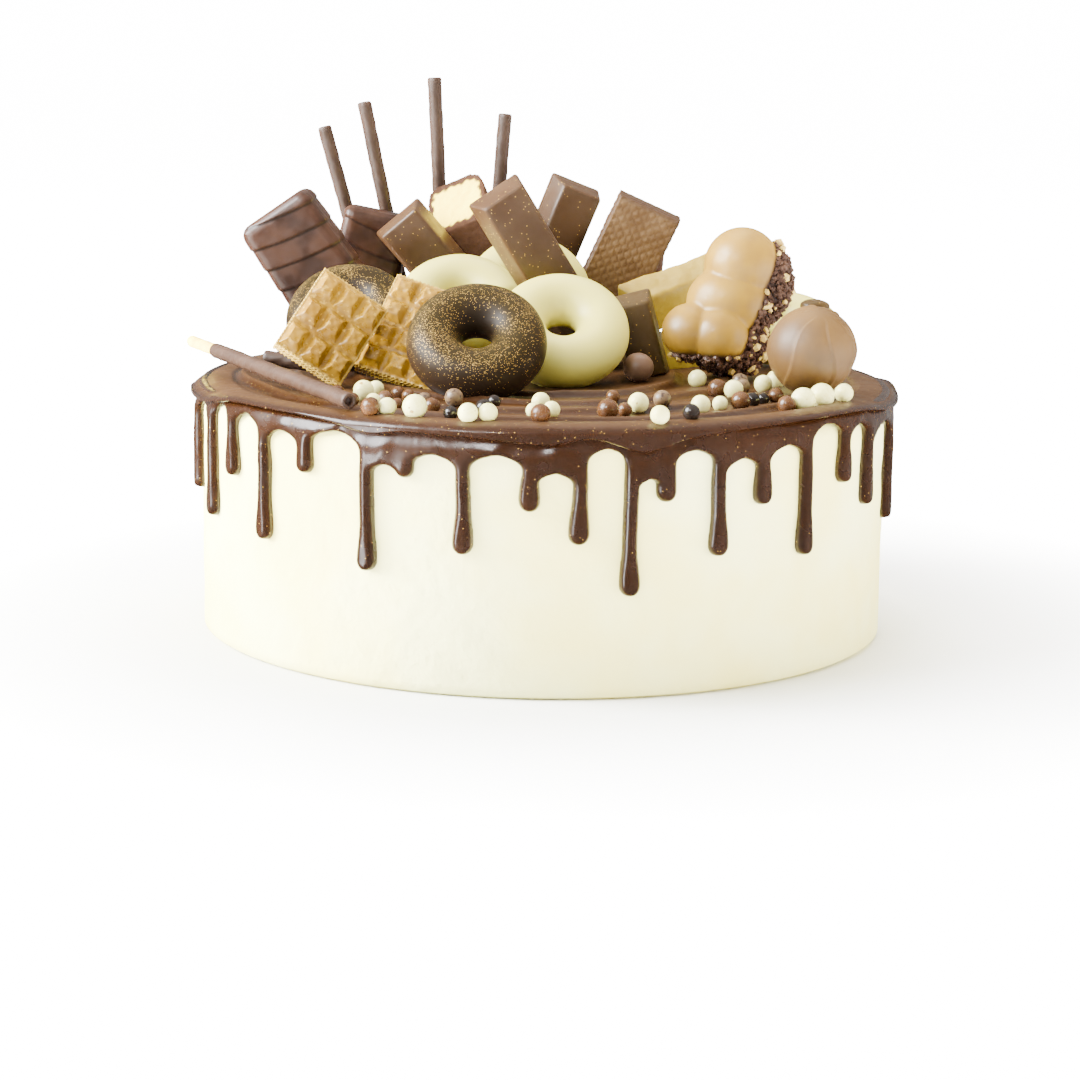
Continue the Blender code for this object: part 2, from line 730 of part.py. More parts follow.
def build_bars(top):
    top.finger("finger_bar_left", on_top(-0.0131, 0.0600), 0.057, 41, -90, -4, MILK_CHOCOLATE)
    top.finger("finger_bar_middle", on_top(0.0177, 0.0240), 0.066, 33, -71, 17, MILK_CHOCOLATE)
    top.finger("finger_bar_right", on_top(-0.0100, 0.0890), 0.057, 22, 90, 23, MILK_CHOCOLATE)
    top.finger("dark_chunk", on_top(0.0323, 0.0082), 0.0245, 16, -70, 1, DARK_CHOCOLATE, CHUNK_WIDTH_SHARE)
    top.bar(
        "white_block", on_top(0.0440, 0.0340), (0.022, 0.016, 0.0082),
        0, 0, 0, WHITE_CHOCOLATE, BLOCK_EDGE, 1,
    )
    top.lying_finger("white_finger", (0.0285, 0.0280, 0.0945), (0.0580, 0.0480, 0.1035), 30)
    filled = (FILLED_BAR_WIDTH, FILLED_BAR_THICKNESS)
    top.bar(
        "filled_bar_left", on_top(-0.0558, 0.0380), (*filled, 0.057),
        35, -90, -2, MILK_CHOCOLATE, FILLED_BAR_ROUND,
    )
    top.bar(
        "filled_bar_right", on_top(-0.0650, 0.0725), (0.023, 0.012, 0.045),
        11, 90, 3, MILK_CHOCOLATE, FILLED_BAR_ROUND,
    )
    top.coconut_bar("coconut_bar_left", on_top(-0.0096, 0.0735), 0.051, 24, -88, -14)
    top.coconut_bar("coconut_bar_right", on_top(0.0275, 0.0850), 0.0370, 4, 90, -2)


def build_rounds(top):
    top.truffle("truffle_ball", (0.0798, -0.0358, 0.0910))
    top.button("milk_button", (0.0290, -0.0065, 0.0812), 0.0048, 0.0046)
    top.lobed_wafer(
        "lobed_wafer",
        (
            ((0.0612, 0.0060, 0.1120), (0.0120, 0.0120, 0.0122)),
            ((0.0591, 0.0040, 0.1010), (0.0122, 0.0120, 0.0120)),
            ((0.0449, -0.0020, 0.0922), (0.0088, 0.0092, 0.0088)),
            ((0.0536, -0.0040, 0.0910), (0.0094, 0.0094, 0.0094)),
            ((0.0580, 0.0030, 0.0890), (0.0120, 0.0095, 0.0120)),
            ((0.0655, 0.0080, 0.1070), (0.0115, 0.0100, 0.0140)),
        ),
    )


def build_sticks(top):
    top.standing_stick("stick_upright_1", on_top(-0.0563, 0.0850), 0.0740, 15.5, -80)
    top.standing_stick("stick_upright_2", on_top(-0.0459, 0.0850), 0.0815, 12, -74)
    top.standing_stick("stick_upright_3", on_top(-0.0345, 0.0930), 0.0880, 3, -90)
    top.standing_stick("stick_upright_4", on_top(-0.0202, 0.0980), 0.0760, 4, 90)
    top.dipped_stick("stick_lying_left", (-0.1136, 0.0200, 0.0843), (-0.0545, -0.0900, 0.0814))
    top.lying_stick("stick_lying_back", (-0.0860, -0.0200, 0.0844), (-0.0600, -0.0225, 0.0814))


def main():
    clear_scene()
    parts = new_collection("drip_cake")
    cutters = new_collection("cutters")
    build_cake(parts)
    build_ganache(parts, cutters)
    top = Toppings(parts, cutters)
    build_donuts(top)
    build_wafers(top)
    build_bars(top)
    build_rounds(top)
    build_sticks(top)


main()
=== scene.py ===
"""Drip cake: buttercream under a ganache top with drips, sugar pearls and chocolates.

Metres, +Z up, front towards -Y. An azimuth is measured from the front and grows towards +X.
"""

import logging
import math
import random
from dataclasses import dataclass, replace
from enum import Enum
from typing import Callable, Iterable, Sequence

import bmesh
import bpy
import numpy as np
from mathutils import Matrix, Vector


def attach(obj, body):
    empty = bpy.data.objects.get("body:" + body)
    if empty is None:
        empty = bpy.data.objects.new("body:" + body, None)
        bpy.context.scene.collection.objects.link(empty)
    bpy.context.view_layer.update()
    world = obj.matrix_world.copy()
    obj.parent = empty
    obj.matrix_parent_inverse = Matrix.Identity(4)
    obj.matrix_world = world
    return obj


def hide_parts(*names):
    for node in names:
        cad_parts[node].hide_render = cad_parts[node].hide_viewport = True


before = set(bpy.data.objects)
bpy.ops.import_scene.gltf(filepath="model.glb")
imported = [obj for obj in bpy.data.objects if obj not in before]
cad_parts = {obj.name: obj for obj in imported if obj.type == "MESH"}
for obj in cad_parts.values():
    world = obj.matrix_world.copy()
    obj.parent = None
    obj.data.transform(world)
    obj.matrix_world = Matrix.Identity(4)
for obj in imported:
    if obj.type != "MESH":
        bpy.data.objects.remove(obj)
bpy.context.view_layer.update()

LOG = logging.getLogger("drip_cake")
Rgb = tuple[float, float, float]
Point = tuple[float, float, float]
Shape = Callable[[np.ndarray], np.ndarray]

CAKE_RADIUS = 0.1065
CAKE_HEIGHT = 0.0745
TOP_Z = 0.0785
FOOT_Z = 0.0788
FOOT_DEPTH = 0.004
OUTER_RADIUS = 0.1101

PAINT_LAYER = "paint"


# Places


def direction(azimuth: float, elevation: float = 0.0) -> Vector:
    """The unit vector at this azimuth from the front and this elevation, in degrees."""
    turn, rise = math.radians(azimuth), math.radians(elevation)
    return Vector((math.sin(turn) * math.cos(rise), -math.cos(turn) * math.cos(rise), math.sin(rise)))


def posed(place: Point, lean: float, toward: float, facing: float) -> Matrix:
    """The matrix that stands a piece at a place, its Z leaning towards an azimuth.

    Args:
        place: where the piece's own origin goes.
        lean: degrees between the piece's Z and the vertical.
        toward: the azimuth that it leans to.
        facing: the azimuth that its front, local -Y, is turned to.

    Returns:
        The matrix from the piece's own frame to the cake's.
    """
    along = direction(toward, 90 - lean)
    front = direction(facing)
    front = (front - front.dot(along) * along).normalized()
    turn = Matrix((along.cross(front), -front, along)).transposed()
    return Matrix.Translation(place) @ turn.to_4x4()


def turned(place: Point, axis: Vector) -> Matrix:
    """The matrix that puts a piece at a place with its Z along an axis."""
    return Matrix.Translation(place) @ axis.to_track_quat("Z", "Y").to_matrix().to_4x4()


def on_top(x: float, y: float) -> Point:
    """A point on the ganache where a piece stands."""
    return (x, y, FOOT_Z)


# Finishes


class Slot(Enum):
    """The record's materials, one named by each finish."""

    BUTTERCREAM = "buttercream"
    GANACHE = "ganache"
    DARK = "dark_chocolate"
    MILK = "milk_chocolate"
    WHITE = "white_chocolate"
    GOLDEN_WAFER = "golden_wafer"
    PALE_WAFER = "pale_wafer"
    COCONUT = "coconut"
    BISCUIT = "biscuit"


@dataclass(frozen=True)
class Finish:
    """One surface: how its colours are spread, its gloss and its grain.

    Colours are linear. Scales count details per metre, and bump is in metres.
    """

    name: str
    slot: Slot
    colour: Rgb
    patch: Rgb
    patch_scale: float = 60.0
    accent: Rgb | None = None
    accent_roughness: float | None = None
    speck: Rgb | None = None
    speck_scale: float = 900.0
    speck_share: float = 0.3
    dust: float = 0.0
    dust_scale: float = 2600.0
    # A lighter colour laid in patchy clouds over up-facing parts: painted light from above.
    tint: Rgb | None = None
    tint_from_above: float = 0.0
    roughness: float = 0.45
    roughness_span: float = 0.12
    specular: float = 0.5
    bump_scale: float = 700.0
    bump: float = 0.00004
    broad_bump_scale: float = 90.0
    broad_bump: float = 0.0


class NodeTree:
    """Adds nodes to a shader tree, with their inputs set or linked by name."""

    def __init__(self, tree: bpy.types.NodeTree) -> None:
        """Keeps the tree."""
        self.tree = tree

    def add(self, kind: str, setup: dict | None = None, **inputs: object) -> bpy.types.Node:
        """A new node.

        Args:
            kind: the node's type, without its ShaderNode prefix.
            setup: properties of the node itself.
            inputs: values or sockets, by input name with _ for a space, or in_0 for a number.

        Returns:
            The node.
        """
        node = self.tree.nodes.new("ShaderNode" + kind)
        for key, value in (setup or {}).items():
            setattr(node, key, value)
        for key, value in inputs.items():
            name = int(key[3:]) if key.startswith("in_") else key.replace("_", " ")
            socket = node.inputs[name]
            if isinstance(value, bpy.types.NodeSocket):
                self.link(value, socket)
            else:
                socket.default_value = value
        return node

    def link(self, source: bpy.types.NodeSocket, target: bpy.types.NodeSocket) -> None:
        """Runs an output into an input."""
        self.tree.links.new(source, target)

    def math(self, operation: str, *values: object) -> bpy.types.NodeSocket:
        """The result of a Math node on up to three values."""
        named = {f"in_{index}": value for index, value in enumerate(values)}
        return self.add("Math", {"operation": operation}, **named).outputs[0]

    def spread(self, value: object, low: float, high: float, least: float, most: float) -> bpy.types.NodeSocket:
        """A value carried smoothly from one range onto another.

        Args:
            value: the value or socket.
            low: where its range starts.
            high: where its range ends.
            least: the result at low and below.
            most: the result at high and above.

        Returns:
            The result's socket.
        """
        settings = {"interpolation_type": "SMOOTHSTEP"}
        node = self.add("MapRange", settings, in_0=value, in_1=low, in_2=high, in_3=least, in_4=most)
        return node.outputs[0]

    def blend(self, share: object, first: object, second: object) -> bpy.types.NodeSocket:
        """Two colours mixed.

        Args:
            share: 0 for the first colour alone, 1 for the second alone.
            first: a colour or its socket.
            second: a colour or its socket.

        Returns:
            The mixed colour's socket.
        """
        node = self.add("Mix", {"data_type": "RGBA"}, in_0=share)
        for index, value in ((6, first), (7, second)):
            if isinstance(value, bpy.types.NodeSocket):
                self.link(value, node.inputs[index])
            else:
                node.inputs[index].default_value = (*value, 1)
        return node.outputs[2]

    def noise(self, where: object, scale: float, detail: float = 3.0) -> bpy.types.NodeSocket:
        """The strength of a noise, about 0.3 to 0.7."""
        return self.add("TexNoise", Vector=where, Scale=scale, Detail=detail).outputs[0]

    def clouds(self, where: object, scale: float, least: float, most: float) -> bpy.types.NodeSocket:
        """A value that wanders in soft clouds between least and most."""
        return self.spread(self.noise(where, scale), 0.3, 0.7, least, most)


def new_material(name: str) -> tuple[bpy.types.Material, NodeTree]:
    """A new material and its tree of nodes."""
    material = bpy.data.materials.new(name)
    material.use_nodes = True
    return material, NodeTree(material.node_tree)


class Paintbox:
    """Makes each finish's material once, and puts it on pieces."""

    GOLD: Rgb = (0.40, 0.25, 0.060)
    GRAIN_METAL = 0.5
    GRAIN_RADIUS = 0.36
    SPECK_EDGE = 0.04

    def __init__(self) -> None:
        """Starts with no materials."""
        self.made: dict[str, bpy.types.Material] = {}

    def dress(self, piece: bpy.types.Object, finish: Finish) -> None:
        """Gives a piece this finish as its only material."""
        piece.data.materials.clear()
        piece.data.materials.append(self.material(finish))

    def material(self, finish: Finish) -> bpy.types.Material:
        """The finish's material."""
        if finish.name not in self.made:
            self.made[finish.name] = self.build(finish)
        return self.made[finish.name]

    def build(self, finish: Finish) -> bpy.types.Material:
        """A new material of patches, specks, dust and two sizes of bump.

        Args:
            finish: the surface that it shows.

        Returns:
            The material.
        """
        material, tree = new_material(finish.name)
        shader = material.node_tree.nodes["Principled BSDF"]
        where = tree.add("TexCoord").outputs["Object"]
        broad = tree.noise(where, finish.patch_scale)
        colour = tree.blend(tree.spread(broad, 0.35, 0.65, 0.0, 1.0), finish.colour, finish.patch)
        if finish.accent:
            paint = tree.add("Attribute", {"attribute_name": PAINT_LAYER}).outputs["Fac"]
            colour = tree.blend(paint, colour, finish.accent)
        if finish.speck:
            specks = tree.noise(where, finish.speck_scale, 1.0)
            edge = 0.72 - 0.3 * finish.speck_share
            chosen = tree.spread(specks, edge, edge + self.SPECK_EDGE, 0.0, 1.0)
            colour = tree.blend(chosen, colour, finish.speck)
        half = finish.roughness_span / 2
        rough = tree.clouds(where, finish.patch_scale * 4, finish.roughness - half, finish.roughness + half)
        if finish.accent_roughness is not None:
            change = tree.math("MULTIPLY", paint, finish.accent_roughness - finish.roughness)
            rough = tree.math("ADD", rough, change)
        # Painted light from above: up-facing parts blend towards the lighter colour.
        if finish.tint:
            lit = tree.math("MULTIPLY", self.upward(tree), finish.tint_from_above)
            cloud = tree.clouds(where, 70.0, 0.55, 1.1)
            colour = tree.blend(tree.math("MULTIPLY", lit, cloud), colour, finish.tint)
        if finish.dust:
            colour = self.add_dust(tree, shader, where, finish, colour)
        height = tree.math("MULTIPLY", tree.noise(where, finish.bump_scale, 2.0), finish.bump)
        if finish.broad_bump:
            low = tree.math("MULTIPLY", tree.noise(where, finish.broad_bump_scale, 2.0), finish.broad_bump)
            height = tree.math("ADD", height, low)
        bump = tree.add("Bump", Strength=1.0, Distance=1.0, Height=height)
        tree.link(colour, shader.inputs["Base Color"])
        tree.link(rough, shader.inputs["Roughness"])
        tree.link(bump.outputs[0], shader.inputs["Normal"])
        shader.inputs["Specular IOR Level"].default_value = finish.specular
        return material

    def upward(self, tree: NodeTree) -> bpy.types.NodeSocket:
        """How far the surface faces up: 0 below, 1 on a level top."""
        normal = tree.add("NewGeometry").outputs["Normal"]
        return tree.spread(tree.add("SeparateXYZ", in_0=normal).outputs[2], -0.25, 0.85, 0.0, 1.0)

    def add_dust(
        self, tree: NodeTree, shader: bpy.types.Node, where: bpy.types.NodeSocket, finish: Finish,
        colour: bpy.types.NodeSocket,
    ) -> bpy.types.NodeSocket:
        """Scattered gold grains over a colour, thicker on top where the finish has painted light from above.

        Args:
            tree: the material's nodes.
            shader: its shader, which takes the grains' metal.
            where: the texture coordinates.
            finish: how much dust there is.
            colour: the colour under the grains.

        Returns:
            The colour's socket with the dust in it.
        """
        grains = tree.add("TexVoronoi", Vector=where, Scale=finish.dust_scale)
        share: object = finish.dust
        if finish.tint:
            share = tree.math("MULTIPLY", tree.math("ADD", self.upward(tree), 0.12), finish.dust)
        share = tree.math("MULTIPLY", share, tree.clouds(where, 60.0, 0.3, 1.3))
        draw = tree.add("SeparateColor", in_0=grains.outputs["Color"]).outputs[0]
        chosen = tree.math("LESS_THAN", draw, share)
        spot = tree.math("LESS_THAN", grains.outputs["Distance"], self.GRAIN_RADIUS)
        mask = tree.math("MULTIPLY", chosen, spot)
        tree.link(tree.math("MULTIPLY", mask, self.GRAIN_METAL), shader.inputs["Metallic"])
        return tree.blend(mask, colour, self.GOLD)


BUTTERCREAM = Finish(
    "buttercream", Slot.BUTTERCREAM, (0.79, 0.77, 0.35), (0.77, 0.695, 0.22), patch_scale=22,
    roughness=0.62, bump_scale=330, bump=0.0003, broad_bump_scale=60, broad_bump=0.0011, specular=0.3,
)
GANACHE = Finish(
    "ganache", Slot.GANACHE, (0.0118, 0.0038, 0.0009), (0.0150, 0.0050, 0.0013), patch_scale=40,
    roughness=0.26, roughness_span=0.08, dust=0.012, bump_scale=260, bump=0.000012, specular=0.36,
    broad_bump_scale=120, broad_bump=0.0004,
)
# The accent is the top's lighter, matt tone; a ridge's steep side takes less of it, as painted shade.
GANACHE_TOP = replace(
    GANACHE, name="ganache_top", accent=(0.037, 0.0155, 0.0038), accent_roughness=0.5, dust=0.02, specular=0.34,
    bump_scale=420, bump=0.00003,
)
# Its lighter top colour is painted light from above on up-facing parts.
DARK = Finish(
    "dark_chocolate", Slot.DARK, (0.0085, 0.0044, 0.0019), (0.0110, 0.0056, 0.0026),
    roughness=0.46, roughness_span=0.1, specular=0.14, dust=0.46, dust_scale=3200,
    tint=(0.0125, 0.0079, 0.0014), tint_from_above=1.0, bump=0.00002,
)
MILK = Finish(
    "milk_chocolate", Slot.MILK, (0.033, 0.0150, 0.0052), (0.043, 0.0215, 0.0085), roughness=0.42,
    dust=0.05, dust_scale=1900, bump=0.00003, bump_scale=450, specular=0.35,
)
CHUNK = replace(
    MILK, name="chunk", slot=Slot.DARK, colour=(0.040, 0.0215, 0.0044), patch=(0.048, 0.027, 0.0062),
)
# Its accent is the painted shadow along the filled bars' ripple steps.
MILK_BAR = replace(
    MILK, name="milk_coating", colour=(0.0155, 0.0050, 0.0019), patch=(0.030, 0.0110, 0.0045),
    accent=(0.006, 0.0025, 0.0014), dust=0.0, roughness=0.38, specular=0.4, patch_scale=120,
    broad_bump=0.0002, broad_bump_scale=120,
)
WHITE = Finish(
    "white_chocolate", Slot.WHITE, (0.46, 0.41, 0.080), (0.43, 0.375, 0.070), patch_scale=35,
    roughness=0.42, bump=0.00002, bump_scale=300, specular=0.4,
)
CARAMEL_WHITE = replace(WHITE, name="caramel_white", colour=(0.25, 0.165, 0.012), patch=(0.20, 0.128, 0.010))
GOLDEN = Finish(
    "golden_wafer", Slot.GOLDEN_WAFER, (0.225, 0.118, 0.0040), (0.180, 0.088, 0.0032), patch_scale=110,
    accent=(0.40, 0.25, 0.035), speck=(0.36, 0.21, 0.025), speck_scale=650, speck_share=0.25,
    roughness=0.34, roughness_span=0.2, bump_scale=800, bump=0.00003, specular=0.45,
)
SLAB = Finish(
    "wafer_slab", Slot.MILK, (0.070, 0.035, 0.011), (0.095, 0.052, 0.019), patch_scale=170,
    accent=(0.030, 0.014, 0.006), roughness=0.6, bump_scale=900, bump=0.00012, specular=0.3,
)
COCONUT = Finish(
    "coconut", Slot.COCONUT, (0.85, 0.62, 0.05), (0.80, 0.56, 0.045), patch_scale=150,
    accent=(0.035, 0.0135, 0.005), roughness=0.8, bump_scale=1100, bump=0.00025, specular=0.2,
)
SHELL = Finish(
    "pale_wafer", Slot.PALE_WAFER, (0.230, 0.128, 0.0100), (0.175, 0.092, 0.0075), patch_scale=75,
    accent=(0.022, 0.0085, 0.0045), roughness=0.36, bump=0.00004, bump_scale=500,
)
CRUMB = Finish(
    "crumbs", Slot.PALE_WAFER, (0.038, 0.0150, 0.0072), (0.070, 0.031, 0.0150), patch_scale=420, roughness=0.6,
    bump_scale=1500, bump=0.0001,
)
NUT = replace(CRUMB, name="nut_bits", colour=(0.52, 0.36, 0.085), patch=(0.36, 0.22, 0.045))
BUTTON = replace(MILK, name="button", colour=(0.100, 0.056, 0.0330), patch=(0.115, 0.067, 0.040), dust=0.01)
TRUFFLE = replace(
    SHELL, name="truffle", colour=(0.086, 0.043, 0.0085), patch=(0.062, 0.030, 0.0065),
    patch_scale=60, roughness=0.52,
)
STICK = Finish(
    "stick_coating", Slot.MILK, (0.026, 0.0118, 0.0055), (0.034, 0.0162, 0.0082), patch_scale=160,
    roughness=0.5, bump_scale=500, bump=0.00008, broad_bump=0.0002, broad_bump_scale=200,
)
BISCUIT = Finish(
    "biscuit", Slot.BISCUIT, (0.80, 0.62, 0.06), (0.66, 0.46, 0.05), patch_scale=300, roughness=0.75,
    bump_scale=1500, bump=0.0001,
)
PEARL_WHITE = Finish(
    "pearl_white", Slot.GANACHE, (0.60, 0.55, 0.19), (0.64, 0.60, 0.25), patch_scale=200, roughness=0.28,
    speck=(0.30, 0.20, 0.05), speck_scale=520, speck_share=0.0, bump=0.00002,
)
PEARL_MILK = Finish(
    "pearl_milk", Slot.GANACHE, (0.044, 0.0160, 0.0040), (0.062, 0.025, 0.0075),
    patch_scale=220, roughness=0.26, bump=0.00002,
)
PEARL_DARK = Finish(
    "pearl_dark", Slot.GANACHE, (0.0058, 0.0036, 0.0025), (0.008, 0.005, 0.0035),
    patch_scale=220, roughness=0.2, bump=0.00002,
)
PEARL_SPECKLED = Finish(
    "pearl_speckled", Slot.GANACHE, (0.075, 0.042, 0.019), (0.11, 0.07, 0.035), patch_scale=350, roughness=0.35,
    speck=(0.028, 0.014, 0.008), speck_scale=900, speck_share=0.45, bump=0.00004,
)


# Mesh work


class Workbench:
    """Starts pieces from primitives, shapes them and sets them in place."""

    def __init__(self, paints: Paintbox) -> None:
        """Keeps the materials."""
        self.paints = paints

    @staticmethod
    def pick(*pieces: bpy.types.Object) -> None:
        """Selects only these pieces, the first one active."""
        bpy.ops.object.select_all(action="DESELECT")
        for piece in pieces:
            piece.select_set(True)
        bpy.context.view_layer.objects.active = pieces[0]

    def edit(self, piece: bpy.types.Object, *steps: Callable[[], object]) -> bpy.types.Object:
        """Runs operators in edit mode on the whole piece.

        Args:
            piece: the piece.
            steps: functions that each call one operator.

        Returns:
            The same piece.
        """
        self.pick(piece)
        bpy.ops.object.mode_set(mode="EDIT")
        bpy.ops.mesh.select_all(action="SELECT")
        for step in steps:
            step()
        bpy.ops.object.mode_set(mode="OBJECT")
        return piece

    @staticmethod
    def started(name: str) -> bpy.types.Object:
        """The primitive that was just added, under its own name."""
        piece = bpy.context.object
        piece.name = name
        piece.data.name = name
        return piece

    def ball(self, name: str, segments: int, rings: int, radius: float = 1.0) -> bpy.types.Object:
        """A sphere round the origin."""
        bpy.ops.mesh.primitive_uv_sphere_add(segments=segments, ring_count=rings, radius=radius)
        return self.started(name)

    def grid(self, name: str, columns: int, rows: int, shape: Shape) -> bpy.types.Object:
        """A closed surface laid out by a function of (u, v) from 0 to 1, welded where it meets itself.

        Args:
            name: the piece's name.
            columns: faces along u, which goes round.
            rows: faces along v.
            shape: takes an array of (u, v) and returns the points.

        Returns:
            The piece.
        """
        bpy.ops.mesh.primitive_grid_add(x_subdivisions=columns, y_subdivisions=rows, size=1)
        piece = self.started(name)
        self.reshape(piece, lambda points: shape(points[:, :2] + 0.5))
        return self.edit(
            piece,
            lambda: bpy.ops.mesh.remove_doubles(threshold=1e-6),
            lambda: bpy.ops.mesh.normals_make_consistent(inside=False),
        )

    @staticmethod
    def points(piece: bpy.types.Object) -> np.ndarray:
        """The piece's vertices as an array of rows."""
        found = np.empty(len(piece.data.vertices) * 3)
        piece.data.vertices.foreach_get("co", found)
        return found.reshape(-1, 3)

    def reshape(self, piece: bpy.types.Object, change: Shape) -> bpy.types.Object:
        """Moves the vertices to where a function of their places says."""
        piece.data.vertices.foreach_set("co", change(self.points(piece)).ravel())
        piece.data.update()
        return piece

    def stretched(self, piece: bpy.types.Object, scale: Sequence[float]) -> bpy.types.Object:
        """Scales the piece along its three axes."""
        return self.edit(piece, lambda: bpy.ops.transform.resize(value=scale))

    def block(
        self, name: str, size: Sequence[float], bottom: float = -FOOT_DEPTH, cuts: int = 0,
    ) -> bpy.types.Object:
        """A box that stands on its end.

        Args:
            name: the piece's name.
            size: its width, thickness and the height of its top.
            bottom: the height of its foot.
            cuts: how finely its faces are cut up.

        Returns:
            The piece.
        """
        bpy.ops.mesh.primitive_cube_add(size=1)
        piece = self.started(name)
        width, thickness, length = size
        tall = length - bottom
        self.edit(
            piece,
            lambda: bpy.ops.transform.resize(value=(width, thickness, tall)),
            lambda: bpy.ops.transform.translate(value=(0, 0, bottom + tall / 2)),
        )
        if cuts:
            self.edit(piece, lambda: bpy.ops.mesh.subdivide(number_cuts=cuts))
        return piece

    def modify(self, piece: bpy.types.Object, kind: str, **settings: object) -> bpy.types.Object:
        """Adds a modifier and applies it.

        Args:
            piece: the piece.
            kind: the modifier's type.
            settings: its properties.

        Returns:
            The same piece.
        """
        modifier = piece.modifiers.new(kind.title(), kind)
        for key, value in settings.items():
            setattr(modifier, key, value)
        self.pick(piece)
        bpy.ops.object.modifier_apply(modifier=modifier.name)
        return piece

    def skinned(self, piece: bpy.types.Object, voxel: float, rounds: int) -> bpy.types.Object:
        """Gives the piece one even skin of small faces, and smooths it this many times."""
        self.modify(piece, "REMESH", mode="VOXEL", voxel_size=voxel, adaptivity=0)
        return self.modify(piece, "SMOOTH", factor=0.5, iterations=rounds)

    def roughen(self, piece: bpy.types.Object, size: float, depth: float) -> bpy.types.Object:
        """Pushes the surface in and out in clouds.

        Args:
            piece: the piece.
            size: how large the clouds are.
            depth: how far they push it, about, either way.

        Returns:
            The same piece.
        """
        clouds = bpy.data.textures.new(piece.name + "_clouds", "CLOUDS")
        clouds.noise_scale = size
        clouds.noise_depth = 2
        return self.modify(piece, "DISPLACE", texture=clouds, strength=depth * 2, mid_level=0.5)

    def paint(self, piece: bpy.types.Object, share: Shape) -> None:
        """Stores how much of the accent colour each vertex takes, by its own place."""
        values = np.clip(share(self.points(piece)), 0, 1)
        layer = piece.data.attributes.new(PAINT_LAYER, "FLOAT", "POINT")
        layer.data.foreach_set("value", values.astype(np.float32))

    def rounded(self, piece: bpy.types.Object, width: float, segments: int = 3) -> bpy.types.Object:
        """Bevels the piece's sharp edges."""
        return self.modify(piece, "BEVEL", width=width, segments=segments, limit_method="ANGLE")

    def joined(self, name: str, pieces: Sequence[bpy.types.Object]) -> bpy.types.Object:
        """One piece of several."""
        self.pick(*pieces)
        bpy.ops.object.join()
        return self.started(name)

    def settle(
        self, piece: bpy.types.Object, finish: Finish, matrix: Matrix | None = None,
        node: str | None = None, smooth: float = 180.0,
    ) -> bpy.types.Object:
        """Puts a piece in place with its finish, riding on the cake.

        Args:
            piece: the piece, in its own frame.
            finish: its surface.
            matrix: where it goes; None where its points are already in place.
            node: the solid that it stands for.
            smooth: edges sharper than this many degrees stay sharp.

        Returns:
            The same piece.
        """
        if matrix:
            piece.data.transform(matrix)
        self.pick(piece)
        if smooth < 180:
            bpy.ops.object.shade_smooth_by_angle(angle=math.radians(smooth))
        else:
            bpy.ops.object.shade_smooth()
        self.paints.dress(piece, finish)
        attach(piece, "root")
        if node:
            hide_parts(node)
        LOG.info("%s: %d faces", piece.name, len(piece.data.polygons))
        return piece


class Waves:
    """A smooth random function of the azimuth that meets itself all the way round."""

    def __init__(self, seed: int, lowest: int, highest: int, height: float) -> None:
        """Draws one sine for each whole number of waves round the cake.

        Args:
            seed: of the random draws.
            lowest: fewest waves round the cake.
            highest: most waves round the cake.
            height: about how far the sum swings.
        """
        chance = random.Random(seed)
        count = highest - lowest + 1
        self.counts = np.arange(lowest, highest + 1)
        self.sizes = np.array([chance.uniform(0.4, 1.0) for _ in self.counts]) * height / math.sqrt(count / 2)
        self.starts = np.array([chance.uniform(0, 2 * math.pi) for _ in self.counts])

    def at(self, turn: np.ndarray) -> np.ndarray:
        """The function at these azimuths, in radians."""
        return (np.sin(np.multiply.outer(turn, self.counts) + self.starts) * self.sizes).sum(-1)


def ease(values: np.ndarray, low: float, high: float) -> np.ndarray:
    """0 below low, 1 above high, and a smooth rise between."""
    share = np.clip((values - low) / (high - low), 0, 1)
    return share * share * (3 - 2 * share)


def around(radius: np.ndarray, turn: np.ndarray, height: np.ndarray) -> np.ndarray:
    """Points at these radii, azimuths in radians, and heights."""
    return np.c_[radius * np.sin(turn), -radius * np.cos(turn), height]


# Cake


@dataclass
class Buttercream:
    """The smooth coat of buttercream, from its foot to under the ganache."""

    bench: Workbench
    radius: float = CAKE_RADIUS
    height: float = CAKE_HEIGHT
    edge_round: float = 0.004
    foot_round: float = 0.0012
    unevenness: float = 0.00022
    most_proud: float = 0.0001
    columns: int = 360
    rows: int = 120

    def outline(self) -> np.ndarray:
        """The coat's profile from the middle of its top to the middle of its base."""
        turns = np.linspace(math.pi / 2, 0, 7)
        across = self.radius + self.edge_round * (np.cos(turns) - 1)
        up = self.height + self.edge_round * (np.sin(turns) - 1)
        foot = ((self.radius, self.foot_round), (self.radius - self.foot_round, 0), (0, 0))
        return np.array([(0, self.height), *zip(across, up), *foot])

    def shape(self, where: np.ndarray) -> np.ndarray:
        """Points of the coat, its wall a little uneven.

        Args:
            where: rows of (u, v), u round the cake and v along the outline.

        Returns:
            The points, in rows.
        """
        profile = self.outline()
        steps = np.r_[0, np.cumsum(np.linalg.norm(np.diff(profile, axis=0), axis=1))]
        steps /= steps[-1]
        radius = np.interp(where[:, 1], steps, profile[:, 0])
        height = np.interp(where[:, 1], steps, profile[:, 1])
        turn = where[:, 0] * 2 * math.pi
        swell = Waves(3, 2, 11, self.unevenness).at(turn) * np.sin(height * 70)
        swell += Waves(4, 9, 40, self.unevenness * 0.6).at(turn + height * 12)
        wall = ease(radius, self.radius * 0.9, self.radius) * ease(height, 0, 0.004)
        radius = radius + np.minimum(swell * wall, self.most_proud) - self.most_proud * wall
        return around(radius, turn, height)

    def build(self) -> None:
        """Makes the coat."""
        piece = self.bench.grid("buttercream", self.columns, self.rows, self.shape)
        self.bench.settle(piece, BUTTERCREAM, node="cake_body")


@dataclass(frozen=True)
class Drip:
    """One drip: its azimuth, tip height, and the height of the arch on its right."""

    azimuth: float
    tip: float
    arch: float


